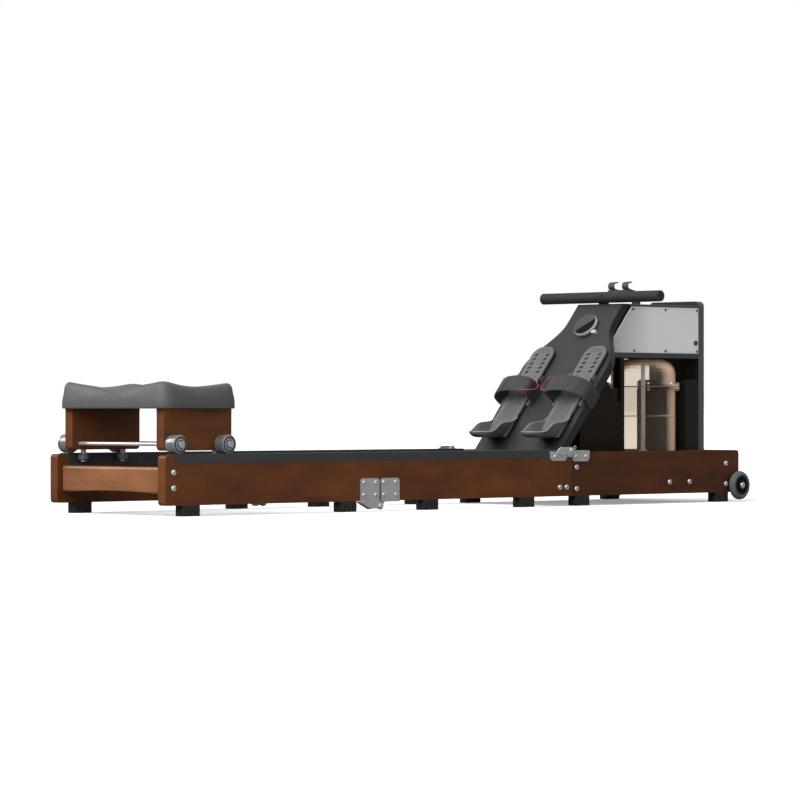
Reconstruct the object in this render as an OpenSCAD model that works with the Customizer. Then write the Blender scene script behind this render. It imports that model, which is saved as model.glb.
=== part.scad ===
// Folding wooden rowing machine with a water tank, in millimetres.
// X runs from the seat end to the tank end, Y across, Z up from the floor.
// In the modules X is counted from the rear ends of the rails; from_rear() moves it to the part's frame.

/* [Rails] */
// Clear width between the two rails
rail_gap = 380; // [370:1:400]
// Thickness of a rail board
rail_t = 28; // [24:1:32]
// Height of a rail board
rail_h = 121.5; // [115:0.5:130]
// Length of the rear section, from its end to the lower hinge
rear_len = 717; // [700:1:740]
// Length of the middle section, between the two hinges
middle_len = 717; // [700:1:740]
// Length of the front section, from the upper hinge to the tank end
front_len = 686; // [686:1:700]
// Gap between two sections that lie in line
seam = 1; // [0.6:0.1:2]
// How much lower the top of the front rails is
front_drop = 3.8; // [2:0.1:6]
// Rounding of the outer rail corners
rail_round = 9.5; // [4:0.5:12]

/* [Feet] */
// Height of a rubber foot
foot_h = 26.3; // [24:0.1:30]
// Length of a rubber foot along the rail
foot_l = 54; // [48:1:60]
// Free space between the folded rails and the other section's feet
fold_clear = 0.5; // [0.4:0.1:1]

/* [Track] */
// Plain wood before the track cap begins
track_start = 30; // [26:1:36]
// Wall thickness of the track cap
track_t = 2.4; // [2:0.1:3]
// Height of the cap's outer lip below the wood's top
track_outer = 20; // [14:1:26]
// Height of the cap's inner lip below the wood's top
track_inner = 31; // [28:1:36]

/* [Beams] */
// Thickness of the upright beams
beam_t = 27; // [22:1:30]
// Underside of the rear end beam above the floor
end_beam_z = 54; // [48:1:60]
// Height of the rear end beam
end_beam_h = 65; // [55:1:70]
// Thickness of the flat boards under the middle and the tank
board_t = 28; // [22:1:32]
// Height of the front section's upright beams
cross_beam_h = 85; // [78:1:90]

/* [Hinges] */
// Thickness of the hinge plates
leaf_t = 4; // [3:0.5:5]
// Radius of the hinge pins
pin_r = 4; // [3:0.5:5]
// Radius of the eyes around the hinge pins
eye_r = 8.5; // [8:0.5:9]
// Running clearance between a pin and its bore, on the radius
run_clear = 0.05; // [0.03:0.01:0.1]
// Length of the rear and middle plates of the lower hinge
low_leaf_l = 65; // [60:1:70]
// Height of the lower hinge plates
low_leaf_h = 60; // [54:1:66]
// Free space between hinge plates that pass each other
leaf_clear = 0.4; // [0.3:0.1:0.6]

/* [Fasteners] */
// Radius of the rail bolts' shanks
bolt_r = 4; // [3:0.5:5]
// Radius of the rail bolts' domed heads
bolt_head_r = 7.6; // [7:0.1:9]
// Radius of the hinge screws' shanks
screw_r = 2.5; // [2:0.5:3]
// Radius of the hinge screws' domed heads
screw_head_r = 5.6; // [5:0.1:6.5]

/* [Transport wheels] */
// Diameter of a transport wheel
wheel_d = 80; // [70:1:84]
// Width of a transport wheel
wheel_w = 24; // [20:1:28]
// Height of the wheel axle above the floor
wheel_z = 45.5; // [44:0.5:50]

/* [Seat] */
// Length of the wooden seat sides
seat_side_l = 218; // [200:1:230]
// Height of the underside of the cushion above the floor
seat_z = 260; // [250:1:270]
// Length of the cushion
cushion_l = 252; // [240:1:270]
// Width of the cushion
cushion_w = 412; // [390:1:420]
// Height of the cushion at its raised corners
cushion_h = 69; // [60:1:75]
// Plan radius of the cushion's corners
cushion_r = 42; // [34:1:50]
// Thickness of the board inside the cushion
seat_board_t = 8; // [6:1:10]
// Radius of a track roller
roller_r = 23; // [20:0.5:25]
// Width of a track roller
roller_w = 34; // [30:1:36]
// Radius of the seat axle rods
axle_r = 5; // [4:0.5:6]
// Radius of a guide roller
guide_r = 14; // [12:0.5:15]
// Height of a guide roller
guide_h = 14; // [12:0.5:16]
// Free space between the rollers and the track
roll_clear = 0.3; // [0.3:0.05:0.5]

/* [Footboard] */
// Slope of the footboard
slope = 50; // [49:0.5:51]
// Thickness of the footboard
board_thick = 25; // [20:1:28]
// Half width of the footboard below the shoulders
board_half = 159; // [155:1:164]
// Half width of the footboard's neck
neck_half = 84; // [80:1:88]
// Where the shoulders begin, up the slope
shoulder_start = 290; // [280:1:295]
// Where the neck begins, up the slope
shoulder_end = 455; // [445:1:465]
// Length of the footboard above the rails
board_len = 523; // [515:1:530]

/* [Foot rests] */
// Distance of each foot from the middle
foot_y = 98; // [95:1:100]
// Width of a sliding foot plate
plate_w = 80; // [76:1:84]
// Thickness of the sliding foot plate
plate_t = 6; // [5:0.5:8]
// Thickness of the fixed base under it
base_t = 5; // [4:0.5:6]
// Top end of the foot plate, up the slope
plate_top = 359; // [350:1:364]
// Heel corner of the foot plate, up the slope
heel_v = 40; // [36:1:46]
// Length of the heel cup's back wall
heel_len = 90; // [84:1:96]
// Lean of the heel wall from square to the plate
heel_lean = 40; // [36:1:42]
// Depth of the heel cup's side walls at the plate
heel_depth = 39; // [34:1:44]
// Wall of the heel cup
heel_wall = 3; // [2.5:0.1:4]
// Distance between two adjusting holes
hole_pitch = 15.5; // [14:0.5:16]
// Number of adjusting holes in a row
hole_count = 5; // [4:1:6]
// Width of a foot strap
strap_w = 54; // [48:1:56]
// Thickness of a foot strap
strap_t = 3; // [2.5:0.5:4]

/* [Console] */
// Half width of the console box
box_half = 92; // [88:1:94]
// Underside of the console's lower rails above the floor
box_z = 401; // [396:1:406]
// Height of the console's lower rails
box_rail = 14; // [10:1:18]
// Top face of the console cover above the floor
box_top = 550; // [548:1:556]
// Thickness of the console cover
cover_t = 7; // [5:1:8]
// Thickness of the brushed side panels
panel_t = 2; // [1.5:0.5:3]
// Inner face of the front wall, from the rails' rear ends
wall_x = 2094; // [2090:1:2096]
// Thickness of the front wall
wall_t = 24; // [18:1:26]
// Top of the front wall above the floor
wall_top = 563; // [558:1:570]
// Thickness of the side boards behind the footboard
cheek_t = 28; // [24:1:30]

/* [Water tank] */
// Centre of the tank, from the rails' rear ends
tank_x = 1963; // [1960:1:1966]
// Outer radius of the tank body
tank_r = 91; // [87:1:92]
// Wall of the tank
tank_wall = 4; // [3:0.5:5]
// Radius of the tank's flanges
flange_r = 103; // [100:1:105]
// Thickness of each flange
flange_t = 6; // [5:1:8]
// Height of the seam between the flanges above the floor
flange_z = 322; // [312:1:326]
// Shoulder radius of the dome
dome_r = 44; // [36:1:46]
// Top of the dome above the floor
dome_top = 399; // [396:1:399]
// Radius of the paddle
paddle_r = 62; // [50:1:70]
// Number of paddle blades
blade_count = 6; // [4:1:8]
// Radius of the paddle shaft
shaft_r = 6; // [5:0.5:7]
// Radius of the strap drum
drum_r = 42; // [36:1:46]

/* [Handle] */
// Length of the handle over its end caps
handle_l = 444; // [430:1:464]
// Radius of the foam grips
grip_r = 15.5; // [14:0.5:16]
// Radius of the handle bar
bar_r = 11; // [10:0.5:12]
// Half length of the centre clamp
clamp_half = 14; // [12:1:16]
// Width of the pull strap
pull_w = 38; // [30:1:40]

/* [Monitor] */
// Diameter of the monitor
monitor_d = 74; // [68:1:80]
// Thickness of the monitor
monitor_t = 13; // [11:1:16]
// Centre of the monitor, up the slope
monitor_v = 438; // [434:1:444]

/* [Hidden] */

wood = "#5a3422";
light_wood = "#8a5c40";
black = "#333436";
steel = "#a9abad";
rubber = "#1f1f1f";
foam = "#3a3a3c";
grey = "#707072";
clear_plastic = [0.85, 0.72, 0.62, 0.35];

rail_in = rail_gap / 2;
rail_out = rail_in + rail_t;
rail_top = foot_h + rail_h;
front_top = rail_top - front_drop;
seam_low = rear_len;
seam_up = rear_len + middle_len;
rail_end = seam_up + front_len;
track_top = rail_top + track_t;
track_in = rail_in - track_t;

low_pivot = [seam_low - 2, foot_h / 2 - fold_clear / 2];
up_pivot = [seam_up - 13, rail_top + 1.2];

axle_x = rail_end - 14;
wheel_y0 = rail_out + 3;
hub_inset = 13;
mid_x = (axle_x + wheel_d / 2) / 2;

bore_clear = 0.1;
touch = 0.3;

end_beam_x = 12;
end_bolts = [for (z = [16, 54]) [end_beam_x + beam_t / 2, end_beam_z + z - 2]];
middle_board_x = seam_up - 64;
middle_board_w = 56;
middle_board_z = 36;
middle_bolts_at = [for (x = [15, 41]) [middle_board_x + x, middle_board_z + board_t / 2]];
cross_beam_z = 35;
cross_top = cross_beam_z + cross_beam_h;
rear_cross_x = seam_up + 3;
front_cross_x = axle_x - 55;
deck_x0 = front_cross_x - 4;
base_x0 = seam_up + 156;
base_z = 44;
base_top = base_z + board_t;
front_bolts_at = [
    for (z = [10, 68]) [rear_cross_x + beam_t / 2, cross_beam_z + z],
    for (z = [15, 72]) [front_cross_x + beam_t / 2, cross_beam_z + z],
    for (x = [237, 320]) [base_x0 + x, base_z + board_t / 2],
];
bolt_depth = 26;

low_rear_screws = [for (x = [15, 57], z = [15, 47]) [seam_low - 3 - x, foot_h + z]];
low_middle_screws = [for (x = [10, 52], z = [15, 47]) [seam_low + x, foot_h + z]];
up_middle_screws = [for (x = [72, 31]) [seam_up - x, rail_top - 16]];
up_front_screws = [for (x = [12, 50]) [seam_up + x, rail_top - 16]];
screw_depth = 18;

feet_rear = [83, seam_low - 109];
feet_middle = [seam_low + 183, seam_up - 174];
feet_front = [seam_up + 41, axle_x - 58];

seat_x = 22;
seat_side_z = roller_z() - 15.5;
seat_out = rail_in - 3;
seat_in = seat_out - rail_t;
roller_x = [seat_x + 24, seat_x + seat_side_l - 36];
guide_x = [seat_x + 47, seat_x + seat_side_l - 43];
guide_y = track_in - roll_clear - guide_r;
guide_z0 = track_top - 17;
cushion_x = seat_x - 17 + cushion_l / 2;
board_inset = 22;

board_x = seam_up + 15;
board_z = 150;
plate_half = plate_w / 2;
slide_d = base_t + touch;
plate_face = slide_d + plate_t;
wall_end = wall_x + wall_t;
box_floor = box_z + box_rail;
cover_x0 = board_point(board_len, 0).x + 26;
roller_v = board_len + 6.6;
handle_x = board_point(board_len, 0).x + 3;
handle_z = board_point(board_len, 0).z + 18.5;
strap_roller_r = 6;
strap_roller_half = 66;
strap_roller_at = board_point(roller_v, -18);
paddle_z = [base_top + 12, base_top + 72];
drum_z = [box_floor + 50, box_floor + 98];
drum_wrap = drum_r + 0.9 + touch;
spool_r = 18;

function roller_z() = track_top + roll_clear + roller_r;

// A point of the footboard's front face, v up the slope and d out of it
function board_point(v, d) = [
    board_x + v * cos(slope) - d * sin(slope),
    0,
    board_z + v * sin(slope) + d * cos(slope)
];

// Points of an arc about c
function arc(c, r, a0, a1, n) =
    [for (i = [0:n]) c + r * [cos(a0 + (a1 - a0) * i / n), sin(a0 + (a1 - a0) * i / n)]];

// Fillet of radius r at corner p, between its neighbours a and b
function fillet(a, p, b, r, n) =
    r <= 0 ? [p] :
    let (
        u = (a - p) / norm(a - p),
        w = (b - p) / norm(b - p),
        half = acos(u * w) / 2,
        c = p + (u + w) / norm(u + w) * r / sin(half),
        s = p + u * r / tan(half) - c,
        e = p + w * r / tan(half) - c,
        a0 = atan2(s.y, s.x),
        turn = atan2(e.y, e.x) - a0,
        da = turn > 180 ? turn - 360 : turn < -180 ? turn + 360 : turn
    )
    [for (i = [0:n]) c + r * [cos(a0 + da * i / n), sin(a0 + da * i / n)]];

// Outline with rounded corners; radii is one value or one per point
function rounded(pts, radii, n = 5) = [
    for (i = [0:len(pts) - 1])
        each fillet(pts[(i + len(pts) - 1) % len(pts)], pts[i], pts[(i + 1) % len(pts)],
            is_list(radii) ? radii[i] : radii, n)
];

function box_outline(x0, y0, x1, y1) = [[x0, y0], [x1, y0], [x1, y1], [x0, y1]];

// Unit normal of a path's stretch from point i, and the mitre at point i
function stretch_normal(path, i) = let (d = path[i + 1] - path[i]) [-d.y, d.x] / norm(d);
function mitre(path, i) =
    i == 0 ? stretch_normal(path, 0) :
    i == len(path) - 1 ? stretch_normal(path, i - 1) :
    let (a = stretch_normal(path, i - 1), b = stretch_normal(path, i)) (a + b) / (1 + a * b);

// Outline of a band of thickness t along a path
function band(path, t) = concat(
    [for (i = [0:len(path) - 1]) path[i] + mitre(path, i) * t / 2],
    [for (i = [len(path) - 1:-1:0]) path[i] - mitre(path, i) * t / 2]
);

// Triangles between two rings of n points that start at a and b
function ring_faces(a, b, n) = [for (j = [0:n - 1], k = [0, 1])
    k == 0 ? [a + j, a + (j + 1) % n, b + j] : [a + (j + 1) % n, b + (j + 1) % n, b + j]];

module from_rear() {
    translate([-mid_x, 0, 0]) children();
}

module both_sides() {
    children();
    mirror([0, 1, 0]) children();
}

// Extrudes an X-Z outline from y0 to y1
module along_y(y0, y1) {
    translate([0, y1, 0]) rotate([90, 0, 0]) linear_extrude(y1 - y0) children();
}

// Extrudes a Y-Z outline from x0 to x1
module along_x(x0, x1) {
    translate([x0, 0, 0]) rotate([90, 0, 90]) linear_extrude(x1 - x0) children();
}

module block(x0, x1, y0, y1, z0, z1) {
    translate([x0, y0, z0]) cube([x1 - x0, y1 - y0, z1 - z0]);
}

// Cylinder along +Y from y0 to y1 at [x, z]
module rod_y(at, r, y0, y1, fn = 24) {
    translate([at.x, y0, at.y]) rotate([-90, 0, 0]) cylinder(r = r, h = y1 - y0, $fn = fn);
}

// Domed screw head with its base on z = 0
module dome_head(r, h, fn = 16) {
    rotate_extrude($fn = fn)
        polygon([[0, 0], [r, 0], [r, h * 0.35], [r * 0.8, h * 0.75], [r * 0.45, h], [0, h]]);
}

// Round profile placed along +Y at [x, z]
module facing_y(at, y) {
    translate([at.x, y, at.y]) rotate([-90, 0, 0]) children();
}

// Screw through a wall: head on face y, shank inwards from it
module side_screw(at, y, depth, r, head_r, head_h) {
    facing_y(at, y) {
        dome_head(head_r, head_h);
        translate([0, 0, -depth]) cylinder(r = r, h = depth, $fn = 16);
    }
}

module screw_bores(places, y, depth, r) {
    for (p = places) rod_y(p, r + bore_clear, y - depth, y + 1, 16);
}

// Moves to the footboard: X up the slope, Z out of its front face
module on_board() {
    translate([board_x, 0, board_z]) rotate([0, -slope, 0]) children();
}

// Rear and middle rail with the rebate for the track cap
module capped_rail(x0, x1, cap_x0, outline) {
    difference() {
        along_y(rail_in, rail_out) polygon(outline);
        block(cap_x0, x1 + 1, rail_out - track_t, rail_out + 1, rail_top - track_outer, rail_top + 1);
        children();
    }
}

module track_cap(x0, x1) {
    along_x(x0, x1) polygon([
        [rail_out, rail_top - track_outer],
        [rail_out, track_top],
        [track_in, track_top],
        [track_in, rail_top - track_inner],
        [rail_in, rail_top - track_inner],
        [rail_in, rail_top],
        [rail_out - track_t, rail_top],
        [rail_out - track_t, rail_top - track_outer],
    ]);
}

module rubber_foot(x) {
    groove = 3;
    difference() {
        along_y(rail_in, rail_out)
            polygon(rounded(box_outline(x - foot_l / 2, 0, x + foot_l / 2, foot_h), [3, 3, 0, 0], 3));
        for (i = [-1:1], y = [rail_in, rail_out])
            block(x + i * foot_l / 4 - groove / 2, x + i * foot_l / 4 + groove / 2, y - groove / 2,
                y + groove / 2, -1, foot_h * 0.6);
    }
}

module rear_rails() {
    outline = rounded(
        box_outline(0, foot_h, seam_low - seam / 2, rail_top), [rail_round, 0, 0, rail_round]);
    color(wood) from_rear() both_sides() capped_rail(0, seam_low, track_start, outline) {
        screw_bores(end_bolts, rail_out, rail_t + 1, bolt_r);
        screw_bores(low_rear_screws, rail_out, screw_depth + 1, screw_r);
    }
}

module rear_tracks() {
    color(black) from_rear() both_sides() track_cap(track_start, seam_low - seam / 2);
}

module rear_end_beam() {
    arch = 6;
    arch_r = (pow(rail_in - 20, 2) + arch * arch) / (2 * arch);
    color(light_wood) from_rear() difference() {
        intersection() {
            along_y(-rail_in, rail_in) polygon(rounded(
                box_outline(end_beam_x, end_beam_z, end_beam_x + beam_t, end_beam_z + end_beam_h), 8));
            linear_extrude(200) polygon(rounded(
                box_outline(end_beam_x, -rail_in, end_beam_x + beam_t, rail_in), [9, 0, 0, 9]));
        }
        translate([end_beam_x - 1, 0, end_beam_z + arch - arch_r])
            rotate([0, 90, 0]) cylinder(r = arch_r, h = beam_t + 2, $fn = 360);
        both_sides() screw_bores(end_bolts, rail_in, bolt_depth, bolt_r);
        both_sides() block(track_start - 0.5, 60, track_in - 0.3, rail_in + 1, rail_top - track_inner - 0.3, 200);
    }
}

module rear_feet() {
    color(rubber) from_rear() both_sides() for (x = feet_rear) rubber_foot(x);
}

// Rail bolts and hinge screws of one section
module section_bolts(bolts, screws) {
    for (p = bolts) side_screw(p, rail_out, rail_t + bolt_depth - 1, bolt_r, bolt_head_r, 5);
    for (p = screws) side_screw(p, rail_out + leaf_t, leaf_t + screw_depth, screw_r, screw_head_r, 3.6);
}

module rear_bolts() {
    color(steel) from_rear() both_sides() section_bolts(end_bolts, low_rear_screws);
}

// Lower hinge, rear plate: a flat leaf whose foot slants down to the eye
module rear_hinge_leaves() {
    x1 = seam_low - 5;
    x0 = x1 - low_leaf_l + 1;
    top = foot_h - 2.3 + low_leaf_h;
    foot_z = low_pivot.y - eye_r + 2.5;
    slant = [[x0, foot_h - 2.3], [x0 + 36, foot_z]];
    color(steel) from_rear() both_sides() difference() {
        union() {
            along_y(rail_out, rail_out + leaf_t) polygon(rounded([
                slant[0], slant[1], [low_pivot.x - 1, foot_z], [low_pivot.x - 1, foot_h - 3],
                [x1, foot_h], [x1, top], [x0, top]], [1, 1, 0, 0, 0, 8, 8], 3));
            rod_y(low_pivot, eye_r, rail_out, rail_out + leaf_t);
            along_y(rail_out - 13, rail_out + leaf_t) polygon(band(slant, 3));
        }
        rod_y(low_pivot, pin_r + run_clear, rail_out - 14, rail_out + leaf_t + 1);
        screw_bores(low_rear_screws, rail_out + leaf_t, leaf_t + 1, screw_r);
    }
}

module middle_rails() {
    outline = box_outline(seam_low + seam / 2, foot_h, seam_up - seam / 2, rail_top);
    color(wood) from_rear() both_sides() capped_rail(seam_low, seam_up, seam_low, outline) {
        screw_bores(middle_bolts_at, rail_out, rail_t + 1, bolt_r);
        screw_bores(low_middle_screws, rail_out, screw_depth + 1, screw_r);
        screw_bores(up_middle_screws, rail_out, screw_depth + 1, screw_r);
    }
}

module middle_tracks() {
    color(black) from_rear() both_sides() difference() {
        track_cap(seam_low + seam / 2, seam_up - seam / 2);
        screw_bores(up_middle_screws, rail_out, track_t + 1, screw_r);
    }
}

module middle_board() {
    color(wood) from_rear() difference() {
        along_y(-rail_in, rail_in) polygon(rounded(box_outline(middle_board_x, middle_board_z,
            middle_board_x + middle_board_w, middle_board_z + board_t), 3, 3));
        both_sides() screw_bores(middle_bolts_at, rail_in, bolt_depth, bolt_r);
    }
}

module middle_feet() {
    color(rubber) from_rear() both_sides() for (x = feet_middle) rubber_foot(x);
}

module middle_bolts() {
    color(steel) from_rear() both_sides()
        section_bolts(middle_bolts_at, concat(low_middle_screws, up_middle_screws));
}

// Lower hinge, middle plate: its eye hangs inboard of the rear plate and holds the pin
module middle_lower_leaves() {
    x0 = seam_low + 1;
    x1 = x0 + low_leaf_l;
    bottom = foot_h - 2.3;
    top = bottom + low_leaf_h;
    eye_y1 = rail_out - leaf_clear;
    eye_y0 = eye_y1 - leaf_t;
    color(steel) from_rear() both_sides() {
        difference() {
            along_y(rail_out, rail_out + leaf_t) polygon(rounded([
                [x0 + 4, bottom], [x1, bottom], [x1, top], [x0, top], [x0, bottom + 4]],
                [0, 1, 8, 8, 0], 3));
            screw_bores(low_middle_screws, rail_out + leaf_t, leaf_t + 1, screw_r);
        }
        along_y(eye_y0, eye_y1) polygon([
            [low_pivot.x, low_pivot.y - eye_r + 1], [x0 + 14, foot_h - 6], [x0 + 14, foot_h - 0.2],
            [low_pivot.x, foot_h - 0.2]]);
        rod_y(low_pivot, eye_r - 1, eye_y0, eye_y1);
        block(x0 + 5, x0 + 14, eye_y0, rail_out + leaf_t, foot_h - 3.2, foot_h - 0.2);
        rod_y(low_pivot, pin_r, eye_y0, rail_out + leaf_t + 0.6);
        facing_y(low_pivot, rail_out + leaf_t + 0.5) dome_head(eye_r - 0.5, 5, 20);
    }
}

// Upper hinge, middle plate: the raised ear carries the pivot bolt outside the front plate's eye
module middle_upper_leaves() {
    x0 = seam_up - 87;
    bottom = rail_top - 27;
    ear_y = rail_out + leaf_t + leaf_clear;
    ear_top = up_pivot.y + eye_r;
    color(steel) from_rear() both_sides() {
        difference() {
            union() {
                along_y(rail_out, rail_out + leaf_t) polygon(rounded([
                    [x0 + 6, bottom], [seam_up - 30, bottom], [seam_up - 24, rail_top - 14],
                    [seam_up - 24, rail_top - 2], [x0, rail_top - 2], [x0, bottom + 6]],
                    [0, 0, 3, 0, 2, 0], 3));
                along_y(rail_out + leaf_t, ear_y) polygon(box_outline(
                    seam_up - 62, rail_top - 8, seam_up - 26, rail_top + 3));
                along_y(ear_y, ear_y + leaf_t) polygon(rounded([
                    [seam_up - 64, rail_top - 9], [seam_up - 12, rail_top - 18],
                    [seam_up - 4, rail_top - 4], [seam_up - 4, ear_top - 4], [seam_up - 10, ear_top],
                    [seam_up - 52, ear_top], [seam_up - 64, ear_top - 9]], [2, 3, 4, 5, 3, 6, 2], 3));
            }
            screw_bores(up_middle_screws, rail_out + leaf_t, leaf_t + 1, screw_r);
            rod_y(up_middle_screws[1], screw_head_r + 1.2, rail_out + leaf_t, ear_y + leaf_t + 1, 20);
        }
        rod_y(up_pivot, pin_r, rail_out + 0.2, ear_y + leaf_t);
        facing_y(up_pivot, ear_y + leaf_t) dome_head(eye_r - 2.5, 4.4, 20);
    }
}

module front_rails() {
    outline = rounded(
        box_outline(seam_up + seam / 2, foot_h, rail_end, front_top), [0, rail_round, rail_round, 0]);
    color(wood) from_rear() both_sides() difference() {
        along_y(rail_in, rail_out) polygon(outline);
        screw_bores(front_bolts_at, rail_out, rail_t + 1, bolt_r);
        screw_bores(up_front_screws, rail_out, screw_depth + 1, screw_r);
        rod_y([axle_x, wheel_z], bolt_r + bore_clear, rail_in - 1, rail_out + 1);
    }
}

// Rear cross beam, and the front one with the deck glued on it that carries the front wall
module front_beams() {
    color(wood) from_rear() {
        difference() {
            union() {
                for (x = [rear_cross_x, front_cross_x])
                    along_y(-rail_in, rail_in) polygon(rounded(
                        box_outline(x, cross_beam_z, x + beam_t, cross_top), [4, 4, 0, 0], 3));
                along_y(-rail_in, rail_in)
                    polygon(rounded(box_outline(deck_x0, cross_top, rail_end, front_top), [0, 6, 3, 3], 3));
            }
            both_sides() screw_bores(front_bolts_at, rail_in, bolt_depth, bolt_r);
            translate([tank_x, 0, cross_beam_z - 1]) cylinder(r = tank_r + 2, h = 200, $fn = 96);
        }
    }
}

module base_board() {
    color(wood) from_rear() difference() {
        block(base_x0, front_cross_x, -rail_in, rail_in, base_z, base_top);
        both_sides() screw_bores(front_bolts_at, rail_in, bolt_depth, bolt_r);
    }
}

module front_feet() {
    color(rubber) from_rear() both_sides() for (x = feet_front) rubber_foot(x);
}

// Front section's fasteners, with the axle bolts that carry the wheels
module front_bolts() {
    axle = [axle_x, wheel_z];
    color(steel) from_rear() both_sides() {
        section_bolts(front_bolts_at, up_front_screws);
        rod_y(axle, bolt_r, rail_in, wheel_y0 + wheel_w + 1);
        rod_y(axle, bolt_r + 4, rail_out, wheel_y0 - 0.5);
        rod_y(axle, bolt_head_r - 1, rail_in - 6, rail_in, 13);
        facing_y(axle, wheel_y0 + wheel_w + 0.6) dome_head(bolt_head_r, 2.4, 20);
    }
}

// Upper hinge, front plate: an angle over the rail's edge with an eye reaching back to the pivot
module front_hinge_leaves() {
    x0 = seam_up - 2;
    x1 = seam_up + 64;
    top = front_top + 4;
    bottom = rail_top - 29;
    color(steel) from_rear() both_sides() difference() {
        union() {
            along_y(rail_out, rail_out + leaf_t) polygon(rounded([
                [x0 + 6, bottom], [x1 - 6, bottom], [x1, bottom + 8],
                [x1, top], [x0, top], [x0, bottom + 8]], [3, 3, 3, 1, 1, 3], 3));
            block(seam_up + 2, x1 - 2, rail_out - 20, rail_out + 1, front_top, top);
            along_y(rail_out, rail_out + leaf_t) polygon([
                [up_pivot.x, up_pivot.y - 5], [x0 + 8, front_top - 10], [x0 + 8, top],
                [up_pivot.x, up_pivot.y + 5]]);
            rod_y(up_pivot, eye_r - 0.5, rail_out, rail_out + leaf_t);
        }
        rod_y(up_pivot, pin_r + run_clear, rail_out - 1, rail_out + leaf_t + 1);
        screw_bores(up_front_screws, rail_out + leaf_t, leaf_t + 1, screw_r);
    }
}

// Tyre of a transport wheel, turned about Y, with its inner face on y = 0
module wheel_tyre() {
    r = wheel_d / 2;
    tread_r = wheel_w / 2 - 3;
    bead = r - hub_inset + run_clear;
    rotate([-90, 0, 0]) rotate_extrude($fn = 48) polygon(concat(
        [[bead, 3], [bead + 4, 1]],
        arc([r - tread_r, wheel_w / 2], tread_r, -70, 70, 6),
        [[bead + 4, wheel_w - 1], [bead, wheel_w - 3]]
    ));
}

// Spoked hub inside the tyre, bored for the axle bolt
module wheel_hub() {
    rim = wheel_d / 2 - hub_inset;
    boss = 11;
    spokes = 12;
    rotate([-90, 0, 0]) difference() {
        union() {
            rotate_extrude($fn = 40)
                polygon([[rim - 4, 3], [rim, 3], [rim, wheel_w - 3], [rim - 4, wheel_w - 3]]);
            translate([0, 0, 0.5]) cylinder(r = boss, h = wheel_w - 1, $fn = 32);
            translate([0, 0, wheel_w / 2 - 2]) cylinder(r = rim - 1, h = 4, $fn = 40);
            for (i = [0:spokes - 1]) rotate([0, 0, i * 360 / spokes])
                translate([boss - 1, -1, 4]) cube([rim - boss - 2, 2, wheel_w - 8]);
        }
        translate([0, 0, -1]) cylinder(r = bolt_r + run_clear, h = wheel_w + 2, $fn = 32);
    }
}

module wheel_at(side) {
    from_rear() mirror([0, side > 0 ? 0 : 1, 0]) translate([axle_x, wheel_y0, wheel_z]) children();
}

module wheel_tyre_right() { color(rubber) wheel_at(-1) wheel_tyre(); }
module wheel_hub_right() { color(grey) wheel_at(-1) wheel_hub(); }
module wheel_tyre_left() { color(rubber) wheel_at(1) wheel_tyre(); }
module wheel_hub_left() { color(grey) wheel_at(1) wheel_hub(); }

// Half width of the footboard at v, an eased curve from shoulders to neck
function board_width(v) =
    let (t = min(1, max(0, (v - shoulder_start) / (shoulder_end - shoulder_start))))
    neck_half + (board_half - neck_half) * (0.5 + 0.5 * cos(180 * t));

module foot_board() {
    steps = 14;
    low_v = -(board_z - cross_top) / sin(slope) - 40;
    curve = [for (i = [0:steps]) let (v = shoulder_start + (shoulder_end - shoulder_start) * i / steps)
        [v, board_width(v)]];
    top_v = board_len + 24;
    corner = arc([top_v - 8, neck_half - 8], 8, 90, 0, 4);
    half = concat([[low_v, board_half]], curve, corner);
    color(black) from_rear() difference() {
        on_board() translate([0, 0, -board_thick]) linear_extrude(board_thick)
            polygon(concat(half, [for (i = [len(half) - 1:-1:0]) [half[i].x, -half[i].y]]));
        block(board_x - 120, board_x + 80, -rail_in, rail_in, cross_top - 100, cross_top);
        block(board_x, wall_x, -rail_in, rail_in, board_point(board_len, 0).z, box_top + 100);
        block(cover_x0 - 0.2, wall_x, -rail_in, rail_in, box_top - cover_t - 0.1, box_top + 100);
        on_board() translate([board_len, -78, -board_thick - 1]) cube([60, 156, board_thick + 2]);
    }
}

// Side boards behind the footboard, standing on the base board
module cheek_boards() {
    x0 = base_x0 + 10;
    x1 = x0 + 182;
    post_x = x1 - 16;
    step_x = x1 - 55;
    top_x = x1 - 107;
    back = board_thick / cos(slope) + 0.08;
    function under(x) = board_z + (x - board_x) * tan(slope) - back;
    color(wood) from_rear() both_sides() along_y(box_half - cheek_t, box_half)
        polygon([
            [x0, base_top], [x1, base_top], [x1, box_z - touch], [post_x, box_z - touch], [post_x, 278],
            [post_x - 9, 278], [post_x - 9, 316], [step_x, 316], [top_x, under(top_x)], [x0, under(x0)]]);
}

// Upright front wall with a hand slot at the top and a flared foot
module front_wall() {
    slot_half = 50;
    slot_z = wall_top - 26;
    color(black) from_rear() difference() {
        union() {
            along_x(wall_x, wall_end) polygon(rounded(
                box_outline(-box_half, front_top, box_half, wall_top), [0, 0, 14, 14]));
            both_sides() difference() {
                along_y(box_half - cheek_t, box_half) polygon(rounded(
                    box_outline(wall_x - 55, front_top, wall_x + 1, 342), [0, 0, 0, 12]));
                translate([tank_x, 0, 300]) cylinder(r = flange_r + 2.5, h = 60, $fn = 72);
            }
            along_y(-box_half, box_half) polygon([
                [wall_end - 1, front_top], [rail_end, front_top], [wall_end + 0.7, front_top + 3],
                [wall_end, front_top + 9], [wall_end - 1, front_top + 9]]);
        }
        along_x(wall_x - 1, wall_end + 1) polygon(rounded(
            box_outline(-slot_half, slot_z - 9, slot_half, slot_z + 9), 8.9, 6));
    }
}

// X of the footboard's back face at height z
function board_back(z) = board_x + (z - board_z + board_thick / cos(slope)) / tan(slope);

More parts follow.
